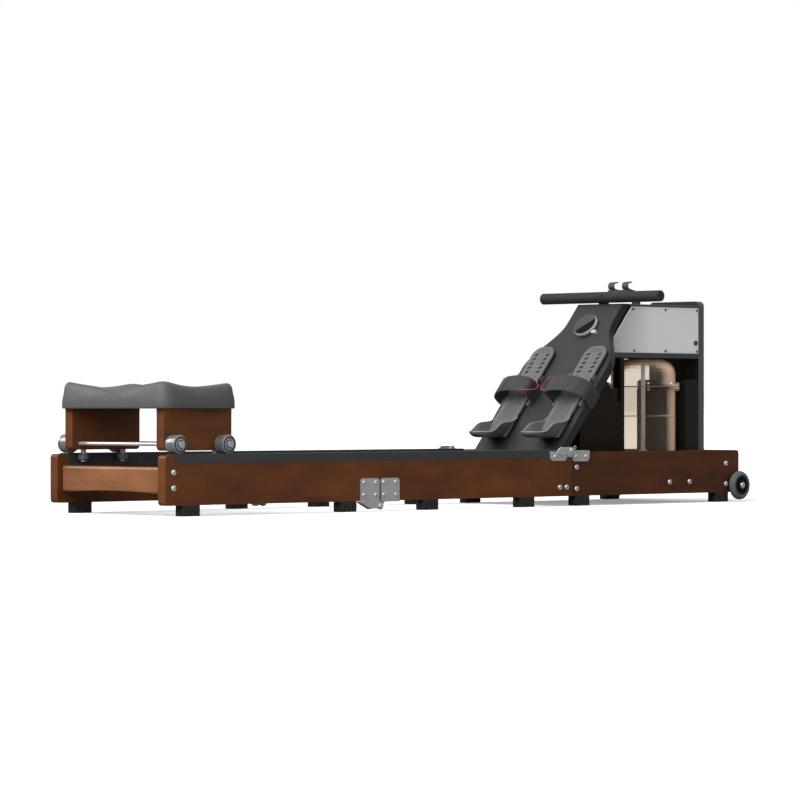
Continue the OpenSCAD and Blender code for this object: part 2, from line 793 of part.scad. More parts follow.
// Lower rails and the floor plate that carries the drum's bearing
module console_frame() {
    edge = 0.2;
    inner = box_half - box_rail;
    function rail_outline(z0, z1) = [
        [board_back(z0) + edge, z0], [wall_x, z0], [wall_x, z1], [board_back(z1) + edge, z1]];
    color(black) from_rear() difference() {
        union() {
            both_sides() along_y(inner, box_half) polygon(rail_outline(box_z, box_floor));
            along_y(-inner, inner) polygon(rail_outline(box_floor - 4, box_floor));
            translate([tank_x, 0, box_floor]) cylinder(r = shaft_r + 10, h = 8, $fn = 32);
        }
        translate([tank_x, 0, box_floor - 5]) cylinder(r = shaft_r + run_clear, h = 20, $fn = 32);
    }
}

panel_screw_z = [box_floor + 6, box_top - cover_t - 7];
panel_screw_x = [wall_x - 6, wall_x - 140];
panel_screws_at = [
    for (z = panel_screw_z, x = panel_screw_x) [x, z],
    [board_back(panel_screw_z[1]) + 12, panel_screw_z[1]],
    [wall_x - 272, panel_screw_z[0]],
];
knob_at = [wall_x - 13, box_floor + 30];

module side_panels() {
    top = box_top - cover_t;
    color("#c4c5c6") from_rear() both_sides() difference() {
        along_y(box_half - panel_t, box_half) polygon([
            [board_back(box_floor) + 0.2, box_floor], [wall_x, box_floor], [wall_x, top],
            [board_back(top) + 0.2, top]]);
        screw_bores(panel_screws_at, box_half, panel_t + 1, screw_r);
        rod_y(knob_at, 4 + bore_clear, box_half - panel_t - 1, box_half + 1);
    }
}

// Panel screws, and the round knob in each panel's front lower corner
module panel_fasteners() {
    color("#2c2c2e") from_rear() both_sides() {
        for (p = panel_screws_at) side_screw(p, box_half, panel_t + 4, screw_r, 3.8, 2);
        facing_y(knob_at, box_half) {
            rotate_extrude($fn = 24)
                polygon([[0, 0], [7, 0], [7, 3], [6, 4.5], [3, 4.5], [2.5, 3], [0, 3]]);
            translate([0, 0, -panel_t - 3]) cylinder(r = 4, h = panel_t + 3, $fn = 24);
        }
    }
}

// Cover with lips inside the panels, a notch for the strap and two ears for the strap roller
module top_cover() {
    lip = 18;
    notch_half = pull_w / 2 + 4;
    notch_x = cover_x0 + 26;
    ear_y = strap_roller_half + touch;
    under = box_top - cover_t;
    roller_at = [strap_roller_at.x, strap_roller_at.z];
    color(black) from_rear() {
        difference() {
            along_x(cover_x0, wall_x - 0.05) polygon(rounded(
                box_outline(-box_half, under, box_half, box_top), [0, 0, 3, 3], 3));
            block(cover_x0 - 1, notch_x, -notch_half, notch_half, under - 1, box_top + 1);
        }
        both_sides() {
            difference() {
                block(cover_x0 + 30, wall_x - 12, box_half - panel_t - 2.2, box_half - panel_t - 0.2,
                    under - lip, under);
                screw_bores(panel_screws_at, box_half - panel_t, 4, screw_r);
            }
            difference() {
                union() {
                    rod_y(roller_at, strap_roller_r, ear_y, ear_y + 5);
                    block(roller_at.x, cover_x0 + 20, ear_y, ear_y + 5, roller_at.y - 5, under);
                    block(cover_x0, cover_x0 + 20, ear_y, ear_y + 5, under - 1, under + 1);
                }
                rod_y(roller_at, 3 + run_clear, ear_y - 1, ear_y + 6);
            }
        }
    }
}

// Steel roller at the footboard's top end, under the handle, with its two journals
module strap_roller() {
    at = [strap_roller_at.x, strap_roller_at.z];
    color(steel) from_rear() {
        rod_y(at, strap_roller_r, -strap_roller_half, strap_roller_half, 32);
        rod_y(at, 3, -strap_roller_half - 5, strap_roller_half + 5);
    }
}

// Tray with two spring clips that are open towards the front
module device_holder() {
    foot_x = cover_x0 + 89;
    tray_z = handle_z + grip_r + 3;
    clip_r = 10;
    clip_w = 22;
    clip_path = concat(
        [[8, 21]],
        arc([0, clip_r], clip_r, 75, 270, 12),
        [[6, 0]]
    );
    color(black) from_rear() {
        along_y(-14, 14) polygon(rounded([
            [foot_x - 44, tray_z], [foot_x + 8, tray_z], [foot_x + 30, tray_z - 8], [foot_x + 30, box_top],
            [foot_x + 36, box_top], [foot_x + 36, tray_z - 5], [foot_x + 10, tray_z + 4],
            [foot_x - 44, tray_z + 4]], [1, 2, 2, 0, 0, 3, 3, 1], 3));
        along_x(foot_x - 44, foot_x - 14)
            polygon(rounded(box_outline(-38, tray_z, 38, tray_z + 4), 1.5, 3));
        for (y = [-26, 26]) translate([foot_x - 32, y + clip_w / 2, tray_z + 5]) rotate([90, 0, 0])
            linear_extrude(clip_w) polygon(band(clip_path, 3));
        block(foot_x + 20, foot_x + 46, -14, 14, box_top, box_top + 3);
    }
}

// Chrome case of the monitor with its small foot at the rim
module monitor_case() {
    r = monitor_d / 2;
    color(steel) from_rear() on_board() {
        translate([monitor_v, 0, 0]) rotate_extrude($fn = 64) polygon([
            [0, 0], [r - 5, 0], [r, 4], [r, monitor_t - 2], [r - 1.5, monitor_t], [r - 3.5, monitor_t],
            [r - 3.5, monitor_t - 2], [0, monitor_t - 2]]);
        translate([monitor_v - 23, -46, 0]) cylinder(r = 5.5, h = 9, $fn = 24);
        translate([monitor_v - 23, -40, 5]) cube([8, 12, 6], center = true);
    }
}

module monitor_face() {
    color("#55565a") from_rear() on_board() translate([monitor_v, 0, monitor_t - 2])
        cylinder(r = monitor_d / 2 - 3.6, h = 1.2, $fn = 64);
}

// Fixed bases of the foot rests, with side guides and the small buckle bars
module foot_bases() {
    guide_w = 5;
    guide_v = [238, 256];
    base_v = 120;
    color(grey) from_rear() on_board() both_sides() translate([0, foot_y, 0]) {
        linear_extrude(base_t) polygon(rounded(
            box_outline(base_v, -plate_half + 4, 262, plate_half - 4), 10));
        for (s = [-1, 1]) {
            outer = s * (plate_half + touch + guide_w);
            inner = s * (plate_half - 5);
            lip_in = s * (plate_half - 2);
            translate([guide_v[0], min(outer, inner), 0])
                cube([guide_v[1] - guide_v[0], abs(outer - inner), base_t]);
            translate([guide_v[0], min(outer, outer - s * guide_w), 0])
                cube([guide_v[1] - guide_v[0], guide_w, plate_face + 4]);
            translate([guide_v[0], min(outer, lip_in), plate_face + touch])
                cube([guide_v[1] - guide_v[0], abs(outer - lip_in), 3.5]);
        }
        for (s = [-1, 1]) translate([0, s * (plate_half + 9), 0]) linear_extrude(8)
            polygon(rounded(box_outline(148, -4, 184, 4), 3.9));
    }
}

// Width and depth of the heel cup along its back wall, s from the foot plate to the tip
cup_root = plate_half - 0.6;
cup_tip = plate_half + 2;
function cup_width(s) = let (s0 = heel_len - cup_tip)
    s <= s0 ? cup_root + (cup_tip - cup_root) * s / s0 : sqrt(max(0, cup_tip * cup_tip - pow(s - s0, 2)));
function cup_depth(s) =
    13 + (heel_depth - 13) / (1 + exp((s - heel_len * 0.55) / 5)) + 13 * exp(-s / 6);

// Section of the cup at s: the floor rises into the side walls and lifts towards the tip.
// The first section lies in the foot plate, and the last is square to the back wall.
function cup_point(s, q, out) =
    let (
        wall = pow(max(0, (abs(q) - 0.45) / 0.55), 2.4),
        tip = pow(max(0, (s - heel_len * 0.55) / (heel_len * 0.45)), 2) * 11,
        x = tip + (cup_depth(s) - tip) * wall,
        y = (cup_width(s) + out * heel_wall * min(1, max(0, abs(q) * 2 - 0.4))) * q
    )
    [
        x - out * heel_wall * (1 - 0.9 * wall),
        y,
        s + (plate_t / 2 / cos(heel_lean) - (x - out * heel_wall * (1 - 0.9 * wall)) * tan(heel_lean))
            * (1 - s / heel_len)
    ];

module heel_cup() {
    s0 = heel_len - cup_tip;
    stations = concat([for (i = [0:6]) s0 * pow(i / 6, 1.3)], [for (a = [12:12:84]) s0 + cup_tip * sin(a)]);
    across = [for (i = [-8:8]) i / 8];
    nq = len(across);
    ring = 2 * nq;
    points = [for (s = stations) each concat(
        [for (q = across) cup_point(s, q, 0)],
        [for (i = [nq - 1:-1:0]) cup_point(s, across[i], 1)])];
    last = (len(stations) - 1) * ring;
    caps = [for (j = [0:nq - 2]) each [
        [j, ring - 1 - j, j + 1], [j + 1, ring - 1 - j, ring - 2 - j],
        [last + j, last + j + 1, last + ring - 1 - j],
        [last + j + 1, last + ring - 2 - j, last + ring - 1 - j]]];
    polyhedron(points, concat(
        caps, [for (i = [0:len(stations) - 2]) each ring_faces((i + 1) * ring, i * ring, ring)]));
}

// Sliding foot plate with its ribbed bed, two rows of holes and the heel cup
module foot_slide() {
    hole_v = plate_top - 30;
    rib_v = [heel_v + 14, 186];
    ribs = 7;
    color(grey) from_rear() on_board() translate([0, foot_y, slide_d]) {
        difference() {
            linear_extrude(plate_t) polygon(rounded(
                box_outline(heel_v - 3.8, -plate_half, plate_top, plate_half), [0, 32, 32, 0], 8));
            for (i = [0:hole_count - 1], s = [-1, 1])
                translate([hole_v - i * hole_pitch, s * 20.5, -1]) rotate([0, 0, 25])
                    linear_extrude(plate_t + 2) {
                        translate([0, -2.5]) circle(r = 3.2, $fn = 16);
                        translate([0, 2.5]) circle(r = 3.2, $fn = 16);
                        translate([-3.2, -2.5]) square([6.4, 5]);
                    }
            for (s = [-1, 1]) translate([hole_v - hole_count * hole_pitch, s * 20.5, -1])
                cylinder(r = 2, h = plate_t + 2, $fn = 16);
        }
        for (i = [0:ribs - 1]) translate([rib_v[0], (i - (ribs - 1) / 2) * 8 - 0.8, plate_t - 0.2])
            cube([rib_v[1] - rib_v[0], 1.6, 1.4]);
        translate([heel_v, 0, 0]) rotate([0, -heel_lean, 0]) heel_cup();
    }
}

module foot_slide_left() { foot_slide(); }
module foot_slide_right() { mirror([0, 1, 0]) foot_slide(); }

// Path of a foot strap across the board: round its edge, over the foot and down beside it
strap_side = board_half + strap_t / 2 + touch;
strap_path = [
    [board_half - 12, -board_thick - strap_t / 2 - touch], [strap_side, -board_thick - strap_t / 2 - touch],
    [strap_side, -12], [165, 0], [167, 12], [166, 24], [160, 34], [148, 44], [130, 52], [108, 57],
    [84, 58.5], [62, 56], [44, 51], [36, 42], [37, 28], [40, 12], [40, 1.5],
];
strap_v = 160;

module foot_strap() {
    color("#3d3d3f") from_rear() on_board() translate([strap_v, 0, 0]) rotate([90, 0, 90])
        linear_extrude(strap_w) polygon(band(strap_path, strap_t));
}

module foot_strap_left() { foot_strap(); }
module foot_strap_right() { mirror([0, 1, 0]) foot_strap(); }

// Thin cord loops at the inner ends of the straps
module pull_loops() {
    cord_r = 1.2;
    rings = 16;
    sides = 8;
    reach = 44;
    half = strap_w / 2 - 4;
    function loop_at(a) =
        [strap_v + strap_w / 2 + half * cos(a), 52 - reach * sin(a), 56.5 - 17 * pow(sin(a), 2)];
    points = [for (i = [0:rings], j = [0:sides - 1])
        let (
            a = 180 * i / rings,
            t = [-half * sin(a), -reach * cos(a), -34 * sin(a) * cos(a)],
            u = t / norm(t),
            n = cross(u, [0, 0.3, -0.95]),
            m = n / norm(n),
            b = cross(u, m),
            th = 360 * j / sides
        )
        loop_at(a) + cord_r * (m * cos(th) + b * sin(th))];
    last = rings * sides;
    color("#b03a3a") from_rear() on_board() both_sides() polyhedron(points, concat(
        [[for (j = [0:sides - 1]) j]], [[for (j = [sides - 1:-1:0]) last + j]],
        [for (i = [0:rings - 1]) each ring_faces((i + 1) * sides, i * sides, sides)]));
}

// Open-topped tank with a bottom, a level ring and the lower flange
module tank_body() {
    r = tank_r;
    color(clear_plastic) from_rear() translate([tank_x, 0, 0]) difference() {
        rotate_extrude($fn = 72) polygon([
            [0, base_top], [r - 4, base_top], [r, base_top + 4], [r, 237], [r + 1.2, 238],
            [r + 1.2, 240], [r, 241], [r, flange_z - flange_t - 1],
            [flange_r, flange_z - flange_t - 1], [flange_r, flange_z - 1], [r - tank_wall, flange_z - 1],
            [r - tank_wall, base_top + tank_wall + 3], [r - tank_wall - 3, base_top + tank_wall],
            [0, base_top + tank_wall]]);
        flange_bores();
    }
}

module flange_bores() {
    for (i = [0:7]) rotate([0, 0, 5 + 45 * i]) translate([(flange_r + tank_r) / 2 + 1, 0, flange_z - 20])
        cylinder(r = 2.6, h = 40, $fn = 16);
}

// Dome with a wide shoulder and the shaft's boss
module tank_dome() {
    r = tank_r;
    inner = dome_r - tank_wall;
    boss = 14;
    color(clear_plastic) from_rear() translate([tank_x, 0, 0]) difference() {
        rotate_extrude($fn = 72) polygon(concat(
            [[r - tank_wall, flange_z + 1], [flange_r, flange_z + 1], [flange_r, flange_z + 1 + flange_t],
                [r, flange_z + 1 + flange_t]],
            arc([r - dome_r, dome_top - dome_r], dome_r, 0, 90, 7),
            [[boss, dome_top], [boss, box_floor - 6], [0, box_floor - 6], [0, dome_top - tank_wall]],
            arc([r - dome_r, dome_top - dome_r], inner, 90, 0, 7)
        ));
        flange_bores();
        translate([0, 0, dome_top - 20]) cylinder(r = shaft_r + run_clear, h = 60, $fn = 32);
        translate([0, 38, dome_top - 10]) cylinder(r = 10.1, h = 20, $fn = 24);
    }
}

module tank_gasket() {
    color("#6b4a3c") from_rear() translate([tank_x, 0, 0]) difference() {
        rotate_extrude($fn = 72)
            polygon(box_outline(tank_r - tank_wall, flange_z - 1, flange_r - 1, flange_z + 1));
        flange_bores();
    }
}

module tank_bolts() {
    r = 2.5;
    color(steel) from_rear() translate([tank_x, 0, flange_z]) for (i = [0:7])
        rotate([0, 0, 5 + 45 * i]) translate([(flange_r + tank_r) / 2 + 1, 0, 0]) {
            translate([0, 0, -flange_t - 1]) cylinder(r = r, h = 2 * flange_t + 2, $fn = 16);
            translate([0, 0, flange_t + 1]) dome_head(5, 5);
            translate([0, 0, -flange_t - 6]) cylinder(r = 5, h = 5, $fn = 6);
        }
}

module fill_plug() {
    color(rubber) from_rear() translate([tank_x, 38, dome_top - tank_wall - 1]) {
        cylinder(r = 10, h = tank_wall + 1, $fn = 24);
        translate([0, 0, tank_wall + 1]) cylinder(r = 13, h = 2, $fn = 24);
    }
}

// Paddle on the upright shaft that carries the drum
module paddle() {
    color(steel) from_rear() translate([tank_x, 0, 0]) {
        translate([0, 0, paddle_z[0] - 6])
            cylinder(r = shaft_r, h = drum_z[1] + 14 - paddle_z[0], $fn = 32);
        translate([0, 0, paddle_z[0]])
            cylinder(r = shaft_r + 6, h = paddle_z[1] - paddle_z[0], $fn = 32);
        for (i = [0:blade_count - 1]) rotate([0, 0, i * 360 / blade_count])
            translate([shaft_r + 2, -1.5, paddle_z[0] + 5])
                cube([paddle_r - shaft_r - 2, 3, paddle_z[1] - paddle_z[0] - 10]);
    }
}

// Drum with two flanges and a small recoil spool, bored to run on the shaft
module strap_drum() {
    z0 = drum_z[0];
    z1 = drum_z[1];
    rim = drum_r + 12;
    spool = spool_r;
    color(black) from_rear() translate([tank_x, 0, 0]) difference() {
        rotate_extrude($fn = 48) polygon([
            [0, z0 - 10], [spool + 8, z0 - 10], [spool + 8, z0 - 8], [spool, z0 - 8], [spool, z0],
            [rim, z0], [rim, z0 + 2], [drum_r, z0 + 2], [drum_r, z1 - 2], [rim, z1 - 2], [rim, z1],
            [0, z1]]);
        translate([0, 0, z0 - 12]) cylinder(r = shaft_r + run_clear, h = z1 - z0 + 20, $fn = 32);
    }
}

// Elastic cord from the recoil spool to the front wall
module recoil_cord() {
    r = 3;
    color("#2a2a2c") from_rear() translate([tank_x, spool_r + r + touch, drum_z[0] - 4])
        rotate([0, 90, 0]) cylinder(r = r, h = wall_x - tank_x, $fn = 16);
}

// Bar with a centre clamp and closed ends
module handle_bar() {
    at = [handle_x, handle_z];
    half = handle_l / 2;
    color(black) from_rear() {
        rod_y(at, bar_r, -half + 4, half - 4, 32);
        rod_y(at, grip_r, -clamp_half, clamp_half, 40);
        both_sides() facing_y(at, half - 4) rotate_extrude($fn = 40)
            polygon([[0, 0], [grip_r, 0], [grip_r, 2], [grip_r - 2, 4], [0, 4]]);
    }
}

module handle_grips() {
    at = [handle_x, handle_z];
    color(foam) from_rear() both_sides() difference() {
        rod_y(at, grip_r, clamp_half + 1, handle_l / 2 - 4, 40);
        rod_y(at, bar_r + run_clear, clamp_half, handle_l / 2, 32);
    }
}

// Pull strap from the clamp over the roller and down to the drum, turning on edge on its way
module handle_strap() {
    half_t = 0.9;
    over = strap_roller_r + half_t + touch;
    rp = [strap_roller_at.x, strap_roller_at.z];
    start = [handle_x, handle_z] + (grip_r + half_t + touch) * [sin(35), -cos(35)];
    leave = 40;
    bend = [for (a = [128:-22:leave]) rp + over * [cos(a), sin(a)]];
    far = norm([tank_x - rp.x - over * cos(leave), 0]);
    turn = acos(drum_wrap / far);
    drum_at = [tank_x - drum_wrap * cos(turn), drum_wrap * sin(turn), (drum_z[0] + drum_z[1]) / 2];
    runs = 8;
    flat = concat([start], bend);
    last = flat[len(flat) - 1];
    route = concat(
        [for (p = flat) [p.x, 0, p.y, 0]],
        [for (i = [1:runs]) let (k = i / runs)
            [last.x + (drum_at.x - last.x) * k, drum_at.y * k,
                drum_at.z + (last.y - drum_at.z) * pow(1 - k, 2.6), 90 * pow(min(1, k / 0.75), 2)]]);
    n = len(route);
    function lean(i) = let (a = route[max(0, i - 1)], b = route[min(n - 1, i + 1)])
        atan2(b[2] - a[2], b[0] - a[0]);
    function corner(i, w, t) = let (r = route[i], a = lean(i))
        [r[0], r[1], r[2]]
            + w * [0, cos(r[3]), 0] + w * sin(r[3]) * [-sin(a), 0, cos(a)]
            + t * ([0, -sin(r[3]), 0] + cos(r[3]) * [-sin(a), 0, cos(a)]);
    points = [for (i = [0:n - 1]) each [
        corner(i, -pull_w / 2, -half_t), corner(i, pull_w / 2, -half_t),
        corner(i, pull_w / 2, half_t), corner(i, -pull_w / 2, half_t)]];
    color("#2f2f31") from_rear() polyhedron(points, concat(
        [[3, 2, 1, 0]], [[for (j = [0:3]) (n - 1) * 4 + j]],
        [for (i = [0:n - 2]) each ring_faces(i * 4, (i + 1) * 4, 4)]));
}

// Cushion top above its base at a, b from -1 to 1: raised corners, two hollows and a tailbone relief
function cushion_rise(a, b) =
    let (h = cushion_h)
    h - 22 + 7 * (a * a + b * b - a * a * b * b) + (15 - 2 * (a + 1)) * a * a * b * b
        - 4 * exp(-(a * a / 0.2 + pow(abs(b) - 0.4, 2) / 0.08))
        - 13 * exp(-(pow(a + 1, 2) / 0.1 + b * b / 0.07));

// Rounded plan outline of the cushion, drawn in by inset
function cushion_ring(inset, k = 1) =
    let (
        hx = (cushion_l / 2 - inset) * k,
        hy = (cushion_w / 2 - inset) * k,
        r = max(6, (cushion_r - inset)) * k,
        seg = 5,
        quarter = [for (q = [0:3]) let (
            sx = q == 0 || q == 3 ? 1 : -1,
            sy = q < 2 ? 1 : -1)
            arc([sx * (hx - r), sy * (hy - r)], r, 90 * q, 90 * q + 90, seg)]
    )
    [for (q = [0:3]) each concat(quarter[q],
        [for (i = [1:4]) quarter[q][seg] * (1 - i / 5) + quarter[(q + 1) % 4][0] * i / 5])];

// Cushion as rings of points: the recess for the board, the drawn-in sides and the crown
module seat_cushion() {
    h = cushion_h;
    flat_edge = 20;
    hx = cushion_l / 2 - flat_edge;
    hy = cushion_w / 2 - flat_edge;
    function level(ring, z) = [for (p = ring) [p.x, p.y, z]];
    function crown(ring, drop) = [for (p = ring)
        [p.x, p.y, cushion_rise(min(1, max(-1, p.x / hx)), min(1, max(-1, p.y / hy))) - drop]];
    rings = concat(
        [level(cushion_ring(board_inset - touch), seat_board_t + touch),
            level(cushion_ring(board_inset - touch), 0), level(cushion_ring(5), 0),
            level(cushion_ring(1), 4), level(cushion_ring(0), 16),
            level(cushion_ring(2), h * 0.42), crown(cushion_ring(6), 17), crown(cushion_ring(8), 10),
            crown(cushion_ring(12), 4), crown(cushion_ring(18), 1)],
        [for (k = [1:-0.2:0.15]) crown(cushion_ring(26, k), 0)]);
    n = len(rings[0]);
    top = (len(rings) - 1) * n;
    points = concat([for (r = rings) each r], [[0, 0, cushion_rise(0, 0)], [0, 0, seat_board_t + touch]]);
    crown_centre = len(points) - 2;
    color("#4a4a4c") from_rear() translate([cushion_x, 0, seat_z]) polyhedron(points, concat(
        [for (j = [0:n - 1]) [j, (j + 1) % n, crown_centre + 1]],
        [for (i = [0:len(rings) - 2]) each ring_faces((i + 1) * n, i * n, n)],
        [for (j = [0:n - 1]) [top + (j + 1) % n, top + j, crown_centre]]));
}

// Board under the cushion, and two seat sides screwed up to it
module seat_frame() {
    color(wood) from_rear() {
        translate([cushion_x, 0, seat_z]) linear_extrude(seat_board_t) polygon(cushion_ring(board_inset));
        both_sides() difference() {
            along_y(seat_in, seat_out) polygon(rounded(
                box_outline(seat_x, seat_side_z, seat_x + seat_side_l, seat_z), [10, 10, 0, 0]));
            for (x = roller_x) rod_y([x, roller_z()], axle_r + bore_clear, seat_in - 1, seat_out + 1);
            for (x = guide_x) translate([x, guide_y, seat_side_z - 1])
                cylinder(r = bolt_r + bore_clear, h = 26, $fn = 16);
        }
    }
}

// Axle rods with end bolts, and the upright bolts of the guide rollers
module seat_axles() {
    end_y = seat_out + roller_w + 1;
    color("#c8c9ca") from_rear() {
        for (x = roller_x) {
            rod_y([x, roller_z()], axle_r, -end_y, end_y);
            both_sides() rod_y([x, roller_z()], axle_r + 4, end_y - 0.6, end_y + 4, 6);
        }
        both_sides() for (x = guide_x) {
            translate([x, guide_y, guide_z0 - 1])
                cylinder(r = bolt_r, h = seat_side_z + 24 - guide_z0, $fn = 24);
            translate([x, guide_y, guide_z0 - 5]) cylinder(r = bolt_r + 3, h = 4.4, $fn = 6);
            translate([x, guide_y, guide_z0 + guide_h + 0.4])
                cylinder(r = bolt_r + 3, h = seat_side_z - guide_z0 - guide_h - 0.4, $fn = 24);
        }
    }
}

// Track roller turned about Y: inner flange, body, groove and the outer disc with its bearing
module track_roller() {
    r = roller_r;
    w = roller_w;
    rotate([-90, 0, 0]) difference() {
        rotate_extrude($fn = 48) polygon([
            [0, 0.6], [r - 2, 0.6], [r, 2.5], [r, w - 12], [r - 2, w - 11.2], [r - 2, w - 9.8],
            [r, w - 9], [r, w - 3], [r - 3, w - 0.6], [14, w - 0.6], [14, w - 2.5], [10, w - 2.5],
            [10, w - 0.4], [0, w - 0.4]]);
        translate([0, 0, -1]) cylinder(r = axle_r + run_clear, h = w + 2, $fn = 32);
    }
}

module roller_pair(x) {
    color("#8b8d90") from_rear() both_sides() translate([x, seat_out, roller_z()]) track_roller();
}

module rear_rollers() { roller_pair(roller_x[0]); }
module front_rollers() { roller_pair(roller_x[1]); }

module guide_roller(x) {
    color(rubber) from_rear() translate([x, guide_y, guide_z0]) difference() {
        rotate_extrude($fn = 40) polygon([
            [0, 0], [guide_r - 1.5, 0], [guide_r, 1.5], [guide_r, guide_h - 1.5], [guide_r - 1.5, guide_h],
            [0, guide_h]]);
        translate([0, 0, -1]) cylinder(r = bolt_r + run_clear, h = guide_h + 2, $fn = 24);
    }
}

module guide_rear_left() { guide_roller(guide_x[0]); }
module guide_rear_right() { mirror([0, 1, 0]) guide_roller(guide_x[0]); }
module guide_front_left() { guide_roller(guide_x[1]); }
module guide_front_right() { mirror([0, 1, 0]) guide_roller(guide_x[1]); }

rear_rails();
rear_tracks();
rear_end_beam();
rear_feet();
rear_bolts();
rear_hinge_leaves();
middle_rails();
middle_tracks();
middle_board();
middle_feet();
middle_bolts();
middle_lower_leaves();
middle_upper_leaves();
front_rails();
front_beams();
base_board();
front_feet();
front_bolts();
front_hinge_leaves();
wheel_tyre_right();
wheel_hub_right();
wheel_tyre_left();
wheel_hub_left();
foot_board();
cheek_boards();
front_wall();
console_frame();
side_panels();
panel_fasteners();
top_cover();
strap_roller();
device_holder();
monitor_case();
monitor_face();
foot_bases();
foot_slide_right();
foot_slide_left();
foot_strap_right();
foot_strap_left();
pull_loops();
tank_body();
tank_dome();
tank_gasket();
tank_bolts();
fill_plug();
paddle();
strap_drum();
recoil_cord();
handle_bar();
handle_grips();
handle_strap();
seat_cushion();
seat_frame();
seat_axles();
rear_rollers();
front_rollers();
guide_rear_right();
guide_rear_left();
guide_front_right();
guide_front_left();
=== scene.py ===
"""Looks of the folding wooden rowing machine with a water tank, laid out as a Blender add-on.

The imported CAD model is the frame. Rigid nodes keep their shape and get rounded edges and a finish.
The cushion, foot plates, straps, cords, grips and screw heads get pieces of their own.
"""

import math

import bpy
from bpy.props import FloatProperty, FloatVectorProperty, IntProperty, PointerProperty
from mathutils import Matrix, Vector


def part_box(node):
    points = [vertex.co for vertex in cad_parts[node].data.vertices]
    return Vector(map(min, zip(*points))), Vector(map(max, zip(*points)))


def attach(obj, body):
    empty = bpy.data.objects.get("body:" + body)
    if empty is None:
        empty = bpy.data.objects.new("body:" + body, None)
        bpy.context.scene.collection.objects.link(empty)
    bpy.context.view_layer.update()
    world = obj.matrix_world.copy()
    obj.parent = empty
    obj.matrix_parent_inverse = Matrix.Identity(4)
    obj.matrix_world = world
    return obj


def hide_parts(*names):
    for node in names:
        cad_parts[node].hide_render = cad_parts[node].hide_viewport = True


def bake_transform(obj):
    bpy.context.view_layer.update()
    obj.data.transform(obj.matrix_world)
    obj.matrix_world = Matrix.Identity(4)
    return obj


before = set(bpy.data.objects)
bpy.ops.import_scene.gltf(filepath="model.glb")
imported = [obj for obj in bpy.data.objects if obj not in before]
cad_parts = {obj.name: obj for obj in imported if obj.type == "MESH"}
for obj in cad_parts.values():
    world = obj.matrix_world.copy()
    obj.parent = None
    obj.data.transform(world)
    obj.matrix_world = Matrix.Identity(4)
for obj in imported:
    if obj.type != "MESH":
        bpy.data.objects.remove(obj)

bl_info = {
    "name": "Folding rowing machine",
    "version": (1, 0, 0),
    "blender": (4, 5, 0),
    "location": "View3D > Sidebar > Rower",
    "description": "Finishes, padding, straps and hardware of a folding rowing machine",
    "category": "Object",
}

MM = 0.001

# Sizes shared with the CAD source, in millimetres. X is counted there from the rear ends of the rails.
CENTRE_X = 1073
RAIL_OUT, RAIL_IN = 218, 190
HINGE_PLATE = 4

# The footboard's lower end and its slope
BOARD_X, BOARD_Z = 1449, 150
BOARD_SLOPE = math.radians(50)

# X and Z of the bolts and screws on the rails' outer sides
END_BOLTS = [(25.5, 68), (25.5, 106)]
MIDDLE_BOLTS = [(1385, 50), (1411, 50)]
FRONT_BOLTS = [(1450.5, 45), (1450.5, 103), (2064.5, 50), (2064.5, 107), (1827, 58), (1910, 58)]
LOW_REAR_SCREWS = [(699, 41.3), (699, 73.3), (657, 41.3), (657, 73.3)]
LOW_MIDDLE_SCREWS = [(727, 41.3), (727, 73.3), (769, 41.3), (769, 73.3)]
UP_MIDDLE_SCREWS = [(1362, 131.8), (1403, 131.8)]
UP_FRONT_SCREWS = [(1446, 131.8), (1484, 131.8)]
BOLT_HEAD = (7.6, 5)
SCREW_HEAD = (5.6, 3.6)
AXLE_HEAD = (7.2, 2.1)

# The heads of the upper pivot bolts, which spring pins go through
PIVOT_HEAD = (1421, 229.4, 146.7)
PIN_WIRE = 0.9
PIN_RING = 4.2

# The transport wheels' axis, and the outer face of their hubs
WHEEL_X, WHEEL_Z = 2106, 45.5
HUB_FACE = 245.05

# How far off the footboard the monitor's front face lies, where its colour is darkened as a painted dark
# reflection
DARK_FRONT_D = 12.4

# Foot plates, from the footboard's face; V runs up the board
FOOT_Y = 98
SLIDE_D = 5.3
PLATE_DEEP = 6
PLATE_FACE = SLIDE_D + PLATE_DEEP
PLATE_HALF = 40
PLATE_LOW, PLATE_HIGH = 36.2, 359
PLATE_EDGE = 0.6
TOE_ROUND = 32
TOP_HOLE, HOLE_PITCH, HOLE_COLUMN = 329, 15.5, 20.5
RIB_PITCH = 8

# Heel cups; each cup's back wall leans off the plate
HEEL_V = 40
HEEL_LEN = 90
HEEL_DEPTH = 39
HEEL_LOW = 13
HEEL_WALL = 3
HEEL_LEAN = math.radians(40)
HEEL_BEND = HEEL_LEN * 0.55
TIP_RISE = 11
CUP_ROOT, CUP_TIP = 39.4, 42

# Foot straps: their path as places across and out of the footboard, and their section with sewn edges
STRAP_PATH = [
    (147, -26.8), (160.8, -26.8), (160.8, -12), (165, 0), (167, 12), (166, 24), (160, 34), (148, 44), (130, 52),
    (108, 57), (84, 58.5), (62, 56), (44, 51), (36, 42), (37, 28), (40, 12), (40, 1.5),
]
STRAP_V = 160
STRAP_W = 54
STRAP_MIDDLE = STRAP_V + STRAP_W / 2
STRAP_SECTION = [
    (-26.6, -1.0), (-26.0, -1.45), (-24.2, -1.5), (-23.3, -1.15), (-22.4, -1.35), (22.4, -1.35), (23.3, -1.15),
    (24.2, -1.5), (26.0, -1.45), (26.6, -1.0), (26.6, 1.0), (26.0, 1.45), (24.2, 1.5), (23.3, 1.15), (22.4, 1.35),
    (-22.4, 1.35), (-23.3, 1.15), (-24.2, 1.5), (-26.0, 1.45), (-26.6, 1.0),
]
LAP_SECTION = [(-25.4, 1.4), (25.4, 1.4), (25.9, 1.9), (25.4, 2.4), (-25.4, 2.4), (-25.9, 1.9)]
LOOP_REACH = 44
LOOP_WIRE = 1.2

